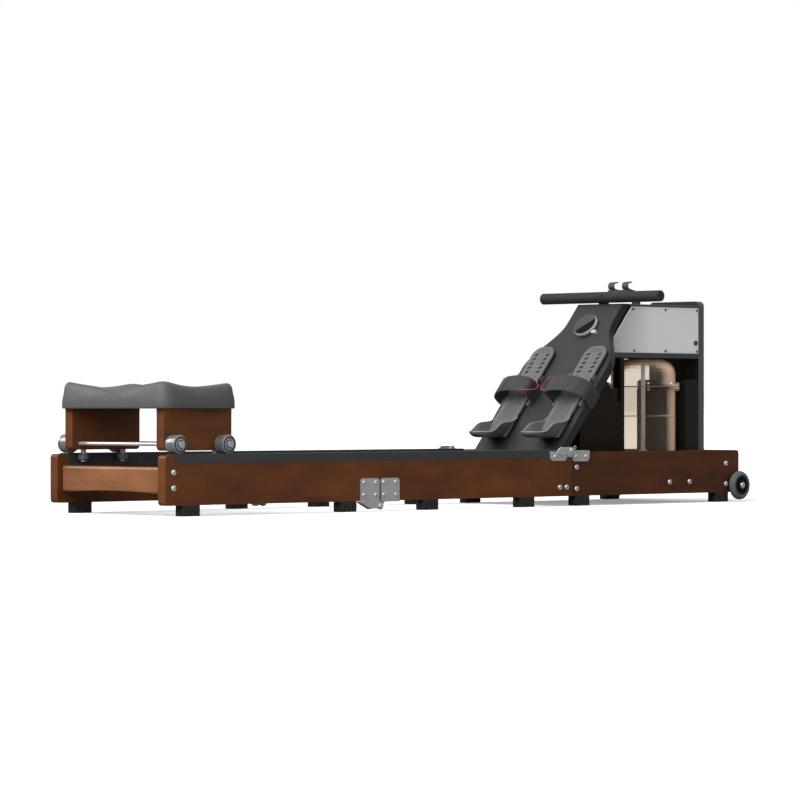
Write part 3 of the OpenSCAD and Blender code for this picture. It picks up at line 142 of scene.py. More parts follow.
# Tank, drum and the elastic cord that winds the strap back
TANK_X = 1963
DRUM_Z = 489
DRUM_WRAP = 43.2
RECOIL_Y, RECOIL_Z = 21.3, 461
RECOIL_LONG = 131
WALL_INNER_X = TANK_X + RECOIL_LONG
WALL_SKIN_X = WALL_INNER_X + 0.6

# Handle, its grips, and the pull strap over its roller
HANDLE_X, HANDLE_Z = 1788.2, 569.1
BAR_R, GRIP_R = 11.1, 15.5
GRIP_FROM, GRIP_TO = 15.2, 217.8
ROLLER_X, ROLLER_Z = 1803.2, 544.1
ROLLER_R = 6
PULL_SECTION = [
    (-18.6, -0.6), (-18.1, -0.85), (18.1, -0.85), (18.6, -0.6),
    (18.6, 0.6), (18.1, 0.85), (-18.1, 0.85), (-18.6, 0.6),
]

# Seat: its cushion's corner radius and flat top, and its track rollers
CUSHION_CORNER = 42
CUSHION_TOP = 27
SEAT_ROLLERS = (("rear", 46), ("front", 204))
SEAT_ROLLER_Y, SEAT_ROLLER_Z = 187, 173.5
BEARING = [
    (9.4, 31.6), (9.4, 33.3), (9.8, 33.6), (10.6, 33.6), (11, 33.2), (11.4, 33.2), (11.7, 33.7), (13.6, 33.7),
    (14, 33.4), (14, 31.6),
]
INNER_RING = [(8.3, 33), (8.3, 33.8), (8.6, 34), (10.6, 34), (10.9, 33.7), (10.9, 33)]
OUTER_RING = [(14.6, 33.4), (14.6, 33.8), (15, 34), (19, 34), (19.8, 33.7), (20, 33.4)]

# The photograph's camera, in metres and degrees
CAMERA_PLACE = (-6.789, -6.832, 0.260)
CAMERA_HEADING, CAMERA_PITCH = 44.52, 0.135
CAMERA_LENS = 163.8

# How far the floor reaches to each side, in metres
FLOOR_REACH = 150

# The key light: where it shines, its power, and how broad it looks, in degrees
KEY_PATH = (0.73, -0.05, -0.68)
KEY_POWER = 2.6
KEY_SPREAD = 46

# Softboxes: name, place, target, width and height in metres, power, and the rays that they stay out of
SOFTBOXES = (
    ("rear_softbox", (-3.6, -1.3, 1.5), (-0.9, 0, 0.3), (1.4, 1.4), 40, ()),
    ("side_softbox", (-1.5, -5.5, 0.5), (-0.7, 0, 0.3), (5.0, 1.2), 52, ("glossy", "transmission")),
    ("tank_card", (1.3, -3.2, 0.75), (0.85, -0.1, 0.4), (1.4, 0.9), 7.5, ("glossy", "transmission")),
    ("gloss_card", (-2.9, 2.9, 2.3), (-1.1, 0, 0.1), (1.5, 1.5), 48, ("diffuse",)),
)

SIDES = (("right", -1), ("left", 1))


def at(x, y, z):
    """A point of the CAD source, in millimetres, as a point of the frame in metres."""
    return Vector(((x - CENTRE_X) * MM, y * MM, z * MM))


def on_board(v, y, d):
    """A point v up the footboard, y across it and d out of its front face, in millimetres."""
    x = BOARD_X + v * math.cos(BOARD_SLOPE) - d * math.sin(BOARD_SLOPE)
    z = BOARD_Z + v * math.sin(BOARD_SLOPE) + d * math.cos(BOARD_SLOPE)
    return at(x, y, z)


BOARD_UP = (on_board(1, 0, 0) - on_board(0, 0, 0)).normalized()
BOARD_OUT = (on_board(0, 0, 1) - on_board(0, 0, 0)).normalized()


def linear(hex_code):
    """An sRGB hex colour as linear red, green and blue."""
    parts = [int(hex_code[i : i + 2], 16) / 255 for i in (1, 3, 5)]
    return tuple(c / 12.92 if c <= 0.04045 else ((c + 0.055) / 1.055) ** 2.4 for c in parts)


def per_mm(width):
    """The texture scale that makes features about that many millimetres wide."""
    return 1000.0 / width


def shade_of(colour, share):
    """A colour made darker or lighter by a factor, with alpha."""
    return (*[min(1.0, c * share) for c in colour[:3]], 1.0)


# Sizes and colours that a user would change


def length(name, description, default, low, high):
    """A size property, given in millimetres."""
    return FloatProperty(
        name=name, description=description, default=default * MM, min=low * MM, max=high * MM, unit="LENGTH"
    )


def colour(name, description, hex_code):
    """A colour property, kept linear."""
    return FloatVectorProperty(
        name=name, description=description, default=linear(hex_code), subtype="COLOR", size=3, min=0, max=1
    )


class RowerSizes(bpy.types.PropertyGroup):
    """Roundings, pattern sizes and small forms"""

    wood_edge: length("Wood edge", "Rounding of the wooden edges", 2.0, 0.2, 4)
    metal_edge: length("Metal edge", "Rounding of plate and box edges", 0.5, 0.1, 2)
    moulded_edge: length("Moulded edge", "Rounding of moulded edges", 0.8, 0.1, 2)
    fibre: length("Wood fibre", "Width of the wood's fibre streaks", 2.2, 0.5, 8)
    figure: length("Wood figure", "Size of the stain's darker clouds", 60, 10, 200)
    stave: length("Stave height", "Height of the glued staves", 40.5, 15, 120)
    brushing: length("Brushing", "Width of the brushed scratches", 0.8, 0.2, 3)
    weave: length("Weave", "Thread spacing of the webbing", 1.6, 0.6, 4)
    skin_grain: length("Skin grain", "Cell size of the cushion's moulded grain", 1.4, 0.5, 4)
    foam_cell: length("Foam cell", "Cell size of the handle foam", 1.1, 0.4, 4)
    crown: length("Cushion corners", "Height of the cushion at its corners", 69, 60, 75)
    hollow: length("Cushion hollows", "Depth of the two sitting hollows", 5, 0, 12)
    socket: length("Socket", "Across-corner radius of the hex sockets", 3.0, 1.5, 4)
    rim_bead: length("Cup rim", "Radius of the bead along the heel cups' rims", 1.6, 0.8, 3)
    head_sides: IntProperty(name="Head sides", description="Facets round a screw head", default=24, min=12, max=48)


class RowerColours(bpy.types.PropertyGroup):
    """Colours of the finishes"""

    wood: colour("Stained wood", "Rear and middle rails, boards and seat sides", "#64391b")
    # The rails under the tank simply take a darker colour
    front_wood: colour("Front rail wood", "Rails under the tank, from darker boards", "#522d15")
    end_wood: colour("Light wood", "Rear end beam", "#8d5b39")
    # Near black as painted shade: these boards sit in the shade under the footboard
    dark_wood: colour("Dark wood", "Side boards behind the footboard", "#1c120a")
    lacquer: colour("Black lacquer", "Footboard and front wall", "#222223")
    track: colour("Track plastic", "Extruded caps on the rails", "#393a3b")
    rubber: colour("Foot rubber", "Feet under the rails", "#2a2a29")
    zinc: colour("Zinc plate", "Hinge plates", "#c9cacc")
    brushed: colour("Brushed panel", "Console side panels", "#e8e9ea")
    polished: colour("Polished steel", "Bolts, rods and the strap roller", "#dcdddf")
    powder: colour("Powder coat", "Console rails and cover", "#434447")
    nickel: colour("Nickel", "Monitor case", "#dcdddf")
    nylon: colour("Grey nylon", "Foot plates and their bases", "#616264")
    # Lighter than the grey nylon, as a painted highlight along the cups' rims
    rim: colour("Rubbed nylon", "Rims of the heel cups", "#8c8d8f")
    tyre: colour("Wheel tyre", "Cast tyres of the transport wheels", "#5a5b5d")
    hub: colour("Wheel hub", "Moulded hubs of the transport wheels", "#1c1d1f")
    roller: colour("Turned aluminium", "Seat rollers", "#96999b")
    cushion: colour("Cushion skin", "Moulded foam skin of the seat", "#494949")
    webbing: colour("Webbing", "Foot straps and pull strap", "#333335")
    loop: colour("Loop cord", "Pull loops on the foot straps", "#b3323c")
    foam: colour("Handle foam", "Grips", "#2b2c2e")
    tank: colour("Tank plastic", "Clear tank", "#ece2d8")
    dome: colour("Dome plastic", "Clear dome", "#f8efe6")
    # Copper of the painted highlight along the clear plastic's edges
    painted_edge_glow: colour("Tank edge", "Glow along the edges of the clear plastic", "#ffd6b6")
    gasket: colour("Gasket", "Ring between the flanges", "#a5785c")
    # Grey half of the monitor glass; it and the black half below the slant are a painted reflection
    screen: colour("Screen", "Monitor glass", "#4b4c4e")
    floor: colour("Floor", "Studio floor", "#fbfbfb")


def size(name):
    """One of the scene's sizes, in millimetres."""
    return round(getattr(bpy.context.scene.rower_sizes, name) / MM, 4)


def hue(name):
    """One of the scene's colours."""
    return getattr(bpy.context.scene.rower_colours, name)


# Geometry


def angles(count):
    """That many angles, evenly spaced round a circle."""
    return [2 * math.pi * k / count for k in range(count)]


def heading(path, i):
    """The direction of a path at its point i."""
    return (path[min(i + 1, len(path) - 1)] - path[max(i - 1, 0)]).normalized()


class Shape:
    """Points in metres and faces, gathered before they become one mesh."""

    def __init__(self):
        self.points = []
        self.faces = []

    def loft(self, rings, caps=(True, True)):
        """Skins rings of points, each ring closed round, and caps the ends with fans."""
        base, count = len(self.points), len(rings[0])
        for ring in rings:
            self.points.extend(Vector(p) for p in ring)
        for start in range(base, base + (len(rings) - 1) * count, count):
            for j in range(count):
                a, b = start + j, start + (j + 1) % count
                self.faces.append((a, b, b + count, a + count))
        last = base + (len(rings) - 1) * count
        for wanted, start, flip in ((caps[0], base, True), (caps[1], last, False)):
            if not wanted:
                continue
            hub = len(self.points)
            self.points.append(sum(self.points[start : start + count], Vector()) / count)
            for j in range(count):
                a, b = start + j, start + (j + 1) % count
                self.faces.append((b, a, hub) if flip else (a, b, hub))

    def turned(self, origin, axis, profile, sides=32, caps=(True, True)):
        """Turns a profile of (radius, height) pairs, in millimetres, about an axis through origin.

        A radius may be a function of the angle, for a hexagon.
        """
        stand = Matrix.Translation(origin) @ Vector(axis).to_track_quat("Z", "Y").to_matrix().to_4x4()
        rings = []
        for radius, height in profile:
            ring = []
            for a in angles(sides):
                r = radius(a) if callable(radius) else radius
                ring.append(stand @ Vector((r * math.cos(a) * MM, r * math.sin(a) * MM, height * MM)))
            rings.append(ring)
        self.loft(rings, caps)

    def tube(self, path, radius, sides=10):
        """A round tube of that radius, in millimetres, along a path of points in metres."""
        rings = []
        side = heading(path, 0).orthogonal()
        for i, point in enumerate(path):
            along = heading(path, i)
            side = (side - along * side.dot(along)).normalized()
            up = along.cross(side)
            rings.append([point + radius * MM * (side * math.cos(a) + up * math.sin(a)) for a in angles(sides)])
        self.loft(rings)

    def band(self, path, across, section):
        """Sweeps a flat section of (across, out) pairs, in millimetres, along a path.

        The function across gives the direction of the band's width at each point of the path.
        """
        rings = []
        for i, point in enumerate(path):
            wide = across(i)
            out = wide.cross(heading(path, i)).normalized()
            rings.append([point + (wide * w + out * t) * MM for w, t in section])
        self.loft(rings)


def hexagon(radius):
    """Radius of a hexagon at an angle, for a turned profile."""
    return lambda a: radius * math.cos(math.pi / 6) / math.cos((a % (math.pi / 3)) - math.pi / 6)


def button_head(shape, x, y, z, radius, height):
    """A domed screw head with a hex socket, its base on the plane at y, facing away from the middle."""
    socket = min(size("socket"), radius * 0.45)
    dome = [(0.94, 0.0), (1, 0.12), (0.985, 0.3), (0.9, 0.58), (0.74, 0.82), (0.56, 0.97)]
    profile = [(radius * r, height * h) for r, h in dome]
    profile += [
        (socket * 1.16, height),
        (hexagon(socket), 0.9 * height),
        (hexagon(socket * 0.97), 0.08 * height),
    ]
    side = 1 if y > 0 else -1
    shape.turned(at(x, y, z), (0, side, 0), profile, bpy.context.scene.rower_sizes.head_sides)


def smooth_path(points, steps=6):
    """A smooth curve through the points, with steps places from each to the next."""
    path = []
    for i in range(len(points) - 1):
        a, b, c, d = (points[min(max(k, 0), len(points) - 1)] for k in range(i - 1, i + 3))
        for t in (k / steps for k in range(steps)):
            bend = 2 * b + (c - a) * t + (2 * a - 5 * b + 4 * c - d) * t * t + (3 * b - a - 3 * c + d) * t**3
            path.append(0.5 * bend)
    path.append(points[-1].copy())
    return path


def rounded_path(points, radius, steps=4):
    """An open path of 2D points with its inner corners rounded."""
    path = [points[0]]
    for a, p, b in zip(points, points[1:], points[2:]):
        start, end = p + (a - p).normalized() * radius, p + (b - p).normalized() * radius
        for t in (k / steps for k in range(steps + 1)):
            path.append(start * (1 - t) ** 2 + p * 2 * t * (1 - t) + end * t * t)
    path.append(points[-1])
    return path


def rounded_outline(corners, radii, steps=10):
    """A closed outline with rounded corners, in millimetres."""
    points = []
    for i, (p, r) in enumerate(zip(corners, radii)):
        if r <= 0:
            points.append(p)
            continue
        a = (corners[i - 1] - p).normalized()
        b = (corners[(i + 1) % len(corners)] - p).normalized()
        half = a.angle(b) / 2
        centre = p + (a + b).normalized() * r / math.sin(half)
        start = p + a * r / math.tan(half) - centre
        end = p + b * r / math.tan(half) - centre
        turn = start.angle_signed(end)
        points += [centre + Matrix.Rotation(-turn * k / steps, 2) @ start for k in range(steps + 1)]
    return points


def slot_outline(x, y, lean, radius, half, sides=20):
    """A slot with round ends, leaning by an angle in degrees."""
    turn = Matrix.Rotation(math.radians(lean), 2)
    points = []
    for a in angles(sides):
        offset = half if math.sin(a) >= 0 else -half
        points.append(turn @ Vector((radius * math.cos(a), radius * math.sin(a) + offset)) + Vector((x, y)))
    return points


def link_object(name, data):
    """Puts a mesh, curve, light or camera into the scene as an object of that name."""
    made = bpy.data.objects.new(name, data)
    bpy.context.scene.collection.objects.link(made)
    return made


def make_mesh(name, shape, finish, sharp=40):
    """Makes an object from a shape, smooth up to that angle in degrees, with its finish."""
    mesh = bpy.data.meshes.new(name)
    mesh.from_pydata([tuple(p) for p in shape.points], [], shape.faces)
    mesh.validate()
    mesh.polygons.foreach_set("use_smooth", [True] * len(mesh.polygons))
    mesh.set_sharp_from_angle(angle=math.radians(sharp))
    mesh.materials.append(material(finish))
    return link_object(name, mesh)


def make_piece(name, shape, finish, body, replaces=(), sharp=40):
    """Makes one mesh piece, which rides on a body and hides the CAD nodes that it replaces."""
    piece = make_mesh(name, shape, finish, sharp)
    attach(piece, body)
    if replaces:
        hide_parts(*replaces)
    return piece


def add_spline(curve, points, closed=False):
    """Adds a line through points in metres to a curve."""
    spline = curve.splines.new("POLY")
    spline.points.add(len(points) - 1)
    for target, p in zip(spline.points, points):
        target.co = (*p, 1)
    spline.use_cyclic_u = closed


def make_cord(name, points, radius, finish, body, replaces):
    """Makes a round cord along points in metres, as a curve."""
    curve = bpy.data.curves.new(name, "CURVE")
    curve.dimensions = "3D"
    curve.bevel_depth = radius * MM
    curve.bevel_resolution = 3
    curve.use_fill_caps = True
    add_spline(curve, points)
    curve.materials.append(material(finish))
    piece = link_object(name, curve)
    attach(piece, body)
    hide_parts(*replaces)
    return piece


def finish_nodes(nodes, finish, edge=None):
    """Gives CAD nodes a finish, and rounds their sharp edges with modifiers, by edge in millimetres."""
    for node in nodes:
        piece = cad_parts[node]
        piece.data.materials.clear()
        piece.data.materials.append(material(finish))
        if edge is None:
            continue
        piece.modifiers.new("Weld", "WELD").merge_threshold = 0.02 * MM
        bevel = piece.modifiers.new("Rounded edges", "BEVEL")
        bevel.width = edge * MM
        bevel.segments = 2
        bevel.limit_method = "ANGLE"
        bevel.angle_limit = math.radians(32)
        bevel.use_clamp_overlap = True
        bevel.harden_normals = True
        piece.modifiers.new("Even faces", "WEIGHTED_NORMAL").keep_sharp = True


# Materials

# The colour sockets of the Mix node, two in and one out, which share their names with others
MIX_A, MIX_B, MIX_OUT = 6, 7, 2


def join(node, inputs):
    """Gives a node's inputs their values, or links the outputs of other nodes to them."""
    for name, value in inputs.items():
        socket = node.inputs[name]
        if isinstance(value, bpy.types.NodeSocket):
            node.id_data.links.new(value, socket)
        else:
            socket.default_value = value


def add_node(tree, kind, inputs=None, output=0, stops=(), **settings):
    """Adds a node with its settings and links, and returns one of its outputs.

    Each input is a value or another node's output. Stops are the (position, grey) pairs of a colour ramp.
    """
    node = tree.nodes.new("ShaderNode" + kind)
    for name, value in settings.items():
        setattr(node, name, value)
    join(node, inputs or {})
    if stops:
        elements = node.color_ramp.elements
        while len(elements) < len(stops):
            elements.new(0.5)
        for element, (position, grey) in zip(elements, stops):
            element.position = position
            element.color = (grey, grey, grey, 1)
    return node.outputs[output]


def new_material(name, **constants):
    """A material with one Principled shader, whose constant values are set on its own sockets."""
    made = bpy.data.materials.new(name)
    made.use_nodes = True
    tree = made.node_tree
    join(tree.nodes["Principled BSDF"], {key.replace("_", " "): value for key, value in constants.items()})
    return made, tree, add_node(tree, "TexCoord", output="Object")


def lay_finish(tree, base, tone, rough=None, relief=None):
    """Joins colour, roughness and relief to the shader.

    A tone is an output, or a pattern with the two shades of the base that it lies between. Rough is a
    pattern with its range, and relief is a pattern with its strength and its depth in millimetres.
    """
    if isinstance(tone, tuple):
        pattern, dark, light = tone
        shades = {0: pattern, MIX_A: shade_of(base, dark), MIX_B: shade_of(base, light)}
        tone = add_node(tree, "Mix", shades, MIX_OUT, data_type="RGBA")
    inputs = {"Base Color": tone}
    if rough:
        pattern, low, high = rough
        inputs["Roughness"] = add_node(tree, "MapRange", {"Value": pattern, "To Min": low, "To Max": high})
    if relief:
        pattern, strength, depth = relief
        inputs["Normal"] = add_node(
            tree, "Bump", {"Height": pattern, "Strength": strength, "Distance": depth * MM}, "Normal"
        )
    join(tree.nodes["Principled BSDF"], inputs)


def stained_rubberwood(name, base, grain="x", coat=0.08):
    """Rubberwood staves, stained walnut and lacquered satin: pores and fibres along the grain, soft clouds
    of stain, and faint joints between the staves. Real fibres are finer and are drawn as wide as they show."""
    made, tree, place = new_material(name, Coat_Weight=coat, Coat_Roughness=0.3, Specular_IOR_Level=0.25)
    patterns = []
    for width, detail, rough, drawn in (
        (size("fibre"), 5, 0.65, 22),
        (size("figure"), 3, 0.5, 2.5),
        (size("fibre") * 0.45, 2, 0.5, 9),
    ):
        scale = tuple(1 / drawn if axis == grain else 1 for axis in "xyz")
        along = add_node(tree, "Mapping", {"Vector": place, "Scale": scale})
        patterns.append(
            add_node(
                tree, "TexNoise", {"Vector": along, "Scale": per_mm(width), "Detail": detail, "Roughness": rough}
            )
        )
    fibre, figure, pores = patterns
    clouds = add_node(tree, "ValToRGB", {"Fac": figure}, stops=((0.3, 0.0), (0.7, 1.0)))
    streaks = add_node(tree, "ValToRGB", {"Fac": fibre}, stops=((0.3, 0.84), (0.55, 1.0), (0.8, 1.08)))
    flecks = add_node(tree, "ValToRGB", {"Fac": pores}, stops=((0.27, 0.62), (0.36, 1.0)))
    quarter = math.pi / 2
    turn = {"x": (quarter, 0, 0), "y": (0, quarter, quarter), "z": (0, quarter, 0)}[grain]
    staves = add_node(
        tree,
        "TexBrick",
        {
            "Vector": add_node(tree, "Mapping", {"Vector": place, "Rotation": turn}),
            "Scale": 1.0,
            "Brick Width": 0.31,
            "Row Height": size("stave") * MM,
            "Mortar Size": 0.0003,
            "Mortar Smooth": 0.4,
            "Color1": (0.9, 0.9, 0.9, 1),
            "Color2": (1.08, 1.06, 1.04, 1),
            "Mortar": (0.8, 0.78, 0.76, 1),
        },
        "Color",
        offset=0.37,
    )
    shades = {0: clouds, MIX_A: shade_of(base, 0.72), MIX_B: shade_of(base, 1.22)}
    tone = add_node(tree, "Mix", shades, MIX_OUT, data_type="RGBA")
    for share, layer in ((0.6, streaks), (0.8, staves), (0.5, flecks)):
        layers = {0: share, MIX_A: tone, MIX_B: layer}
        tone = add_node(tree, "Mix", layers, MIX_OUT, data_type="RGBA", blend_type="MULTIPLY")
    lay_finish(tree, base, tone, (fibre, 0.36, 0.5), (fibre, 0.25, 0.08))
    return made


def black_lacquer(name, base):
    """Fibreboard sprayed with black lacquer: a faint orange peel, a satin sheen and dust-fine wear."""
    made, tree, place = new_material(name, Coat_Weight=0.1, Coat_Roughness=0.35)
    peel = add_node(tree, "TexNoise", {"Vector": place, "Scale": per_mm(3.5), "Detail": 2, "Roughness": 0.55})
    wear = add_node(tree, "TexNoise", {"Vector": place, "Scale": per_mm(70), "Detail": 4, "Roughness": 0.55})
    lay_finish(tree, base, (wear, 0.88, 1.1), (wear, 0.42, 0.54), (peel, 0.15, 0.05))
    return made


def wall_lacquer_painted_light_and_shade(name, base):
    """The lacquered wall, satin: its outer faces lightened to grey as painted light, and its inner face and corner
    boards near black as painted shade.
    """
    made, tree, place = new_material(name, Coat_Weight=0.1, Coat_Roughness=0.35)
    peel = add_node(tree, "TexNoise", {"Vector": place, "Scale": per_mm(3.5), "Detail": 2, "Roughness": 0.55})
    wear = add_node(tree, "TexNoise", {"Vector": place, "Scale": per_mm(70), "Detail": 4, "Roughness": 0.55})
    x = add_node(tree, "SeparateXYZ", {"Vector": place}, "X")
    skin = at(WALL_SKIN_X, 0, 0).x
    outer = add_node(tree, "MapRange", {"Value": x, "From Min": skin - 0.4 * MM, "From Max": skin + 0.4 * MM})
    # Two copies of the lacquer: near black inside as painted shade, several times lighter outside as painted light
    inner, satin = (
        add_node(
            tree,
            "Mix",
            {0: wear, MIX_A: shade_of(base, dark), MIX_B: shade_of(base, light)},
            MIX_OUT,
            data_type="RGBA",
        )
        for dark, light in ((0.14, 0.22), (5.2, 6.2))
    )
    tone = add_node(tree, "Mix", {0: outer, MIX_A: inner, MIX_B: satin}, MIX_OUT, data_type="RGBA")
    lay_finish(tree, base, tone, (wear, 0.42, 0.54), (peel, 0.15, 0.05))
    return made


def extruded_vinyl(name, base):
    """Extruded vinyl: fine drawing lines along the length and a low even sheen."""
    made, tree, place = new_material(name)
    drawn = add_node(tree, "Mapping", {"Vector": place, "Scale": (1 / 60, 1, 1)})
    lines = add_node(tree, "TexNoise", {"Vector": drawn, "Scale": per_mm(0.9), "Detail": 2, "Roughness": 0.5})
    rubbed = add_node(tree, "Mapping", {"Vector": place, "Scale": (1 / 6, 1, 1)})
    rub = add_node(tree, "TexNoise", {"Vector": rubbed, "Scale": per_mm(30), "Detail": 4, "Roughness": 0.6})
    lay_finish(tree, base, (rub, 0.85, 1.2), (rub, 0.34, 0.5), (lines, 0.2, 0.04))
    return made


def moulded_plastic(name, base, grit=0.7, rough=(0.42, 0.55), depth=0.05):
    """Injection-moulded nylon or ABS: spark-eroded grit from the mould, drawn coarser than real so that it
    shows, and slight flow shading."""
    made, tree, place = new_material(name)
    texture = add_node(tree, "TexNoise", {"Vector": place, "Scale": per_mm(grit), "Detail": 2, "Roughness": 0.55})
    flow = add_node(tree, "TexNoise", {"Vector": place, "Scale": per_mm(25), "Detail": 3, "Roughness": 0.55})
    lay_finish(tree, base, (flow, 0.9, 1.1), (flow, *rough), (texture, 0.3, depth))
    return made


def moulded_rubber(name, base, rough=(0.6, 0.78)):
    """Moulded rubber: matt, with a grey bloom and small scuffs."""
    made, tree, place = new_material(name, Specular_IOR_Level=0.35)
    bloom = add_node(tree, "TexNoise", {"Vector": place, "Scale": per_mm(12), "Detail": 4, "Roughness": 0.55})
    scuffs = add_node(tree, "TexNoise", {"Vector": place, "Scale": per_mm(1.2), "Detail": 3, "Roughness": 0.55})
    lay_finish(tree, base, (bloom, 0.8, 1.35), (bloom, *rough), (scuffs, 0.35, 0.08))
    return made


def zinc_plate(name, base):
    """Zinc-plated sheet steel: a dull sheen with blotches and soft rolling lines, which are drawn coarser
    than real so that they show."""
    made, tree, place = new_material(name, Metallic=0.5)
    blotch = add_node(tree, "TexNoise", {"Vector": place, "Scale": per_mm(14), "Detail": 4, "Roughness": 0.55})
    drawn = add_node(tree, "Mapping", {"Vector": place, "Scale": (1 / 14, 1, 1)})
    rolled = add_node(tree, "TexNoise", {"Vector": drawn, "Scale": per_mm(0.7), "Detail": 3, "Roughness": 0.6})
    lay_finish(tree, base, (blotch, 0.85, 1.12), (rolled, 0.3, 0.46), (rolled, 0.15, 0.02))
    return made


def brushed_steel(name, base):
    """Brushed stainless sheet: long scratches along X, drawn coarser than real so that they show, and a painted
    sheen: the colour grows lighter from the rear edge of the side panels to their middle."""
    made, tree, place = new_material(name, Metallic=0.15, Anisotropic=0.5)
    drawn = add_node(tree, "Mapping", {"Vector": place, "Scale": (1 / 90, 1, 1)})
    scratches = add_node(
        tree, "TexNoise", {"Vector": drawn, "Scale": per_mm(size("brushing")), "Detail": 4, "Roughness": 0.7}
    )
    cloud = add_node(tree, "TexNoise", {"Vector": place, "Scale": per_mm(90), "Detail": 2, "Roughness": 0.55})
    x = add_node(tree, "SeparateXYZ", {"Vector": place}, "X")
    # Painted sheen: the base colour is scaled up along X, from the panels' rear edge to their middle
    low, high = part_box("side_panels")
    middle = (low.x + high.x) / 2
    sheen = add_node(
        tree, "MapRange", {"Value": x, "From Min": low.x, "From Max": middle, "To Min": 0.56, "To Max": 1.25}
    )
    bright = add_node(tree, "VectorMath", {0: tuple(base), "Scale": sheen}, operation="SCALE")
    dark = {0: 1.0, MIX_A: bright, MIX_B: (0.86, 0.86, 0.86, 1)}
    scratched = add_node(tree, "Mix", dark, MIX_OUT, data_type="RGBA", blend_type="MULTIPLY")
    tone = add_node(tree, "Mix", {0: scratches, MIX_A: scratched, MIX_B: bright}, MIX_OUT, data_type="RGBA")
    soft = add_node(tree, "MapRange", {"Value": cloud, "To Min": 0, "To Max": 0.3})
    tone = add_node(tree, "Mix", {0: soft, MIX_A: tone, MIX_B: bright}, MIX_OUT, data_type="RGBA")
    lay_finish(tree, base, tone, (scratches, 0.26, 0.42), (scratches, 0.2, 0.02))
    return made


def polished_steel(name, base):
    """Polished steel: clear reflections dulled by fine handling marks."""
    made, tree, place = new_material(name, Metallic=0.65)
    marks = add_node(tree, "TexNoise", {"Vector": place, "Scale": per_mm(5), "Detail": 5, "Roughness": 0.7})
    lay_finish(tree, base, (marks, 0.92, 1.05), (marks, 0.12, 0.24))
    return made


def nickel_plate(name, base):
    """Satin nickel on moulded ABS: a bright soft sheen, and a front face darkened as a painted dark reflection."""
    made, tree, place = new_material(name, Metallic=0.45)
    haze = add_node(tree, "TexNoise", {"Vector": place, "Scale": per_mm(6), "Detail": 3, "Roughness": 0.55})
    height = add_node(tree, "VectorMath", {0: place, 1: tuple(BOARD_OUT)}, "Value", operation="DOT_PRODUCT")
    level = on_board(0, 0, DARK_FRONT_D).dot(BOARD_OUT)
    front = add_node(tree, "MapRange", {"Value": height, "From Min": level, "From Max": level + 0.4 * MM})
    shades = {0: haze, MIX_A: shade_of(base, 0.9), MIX_B: shade_of(base, 1.05)}
    plated = add_node(tree, "Mix", shades, MIX_OUT, data_type="RGBA")
    # Painted reflection: the front face takes a fifth of the plating's colour, as if it mirrored dark surroundings
    painted_dark_front = {0: front, MIX_A: plated, MIX_B: shade_of(base, 0.2)}
    tone = add_node(tree, "Mix", painted_dark_front, MIX_OUT, data_type="RGBA")
    lay_finish(tree, base, tone, (haze, 0.22, 0.32))
    return made


def turned_aluminium(name, base):
    """Turned and anodised aluminium: lathe marks, drawn coarser than real so that they show, and running
    bands worn lighter."""
    made, tree, place = new_material(name, Metallic=0.7)
    lathe = add_node(tree, "TexNoise", {"Vector": place, "Scale": per_mm(0.5), "Detail": 2, "Roughness": 0.5})
    worn = add_node(tree, "TexNoise", {"Vector": place, "Scale": per_mm(9), "Detail": 3, "Roughness": 0.55})
    lay_finish(tree, base, (worn, 0.75, 1.25), (worn, 0.26, 0.42), (lathe, 0.12, 0.02))
    return made


def powder_coat(name, base):
    """Black powder coat on steel: a tight matt pebble."""
    made, tree, place = new_material(name)
    pebble = add_node(tree, "TexNoise", {"Vector": place, "Scale": per_mm(0.9), "Detail": 2, "Roughness": 0.55})
    drift = add_node(tree, "TexNoise", {"Vector": place, "Scale": per_mm(50), "Detail": 2, "Roughness": 0.55})
    lay_finish(tree, base, (drift, 0.9, 1.12), (pebble, 0.4, 0.55), (pebble, 0.3, 0.04))
    return made


def foam_skin(name, base):
    """Integral-skin polyurethane foam: a soft leather-like grain from the mould and a low sheen."""
    made, tree, place = new_material(name, Sheen_Weight=0.12, Sheen_Roughness=0.5)
    grain = {"Vector": place, "Scale": per_mm(size("skin_grain"))}
    cells = add_node(tree, "TexVoronoi", grain, "Distance", feature="SMOOTH_F1")
    hand = add_node(tree, "TexNoise", {"Vector": place, "Scale": per_mm(60), "Detail": 3, "Roughness": 0.55})
    lay_finish(tree, base, (hand, 0.9, 1.1), (hand, 0.5, 0.6), (cells, 0.3, 0.12))
    return made


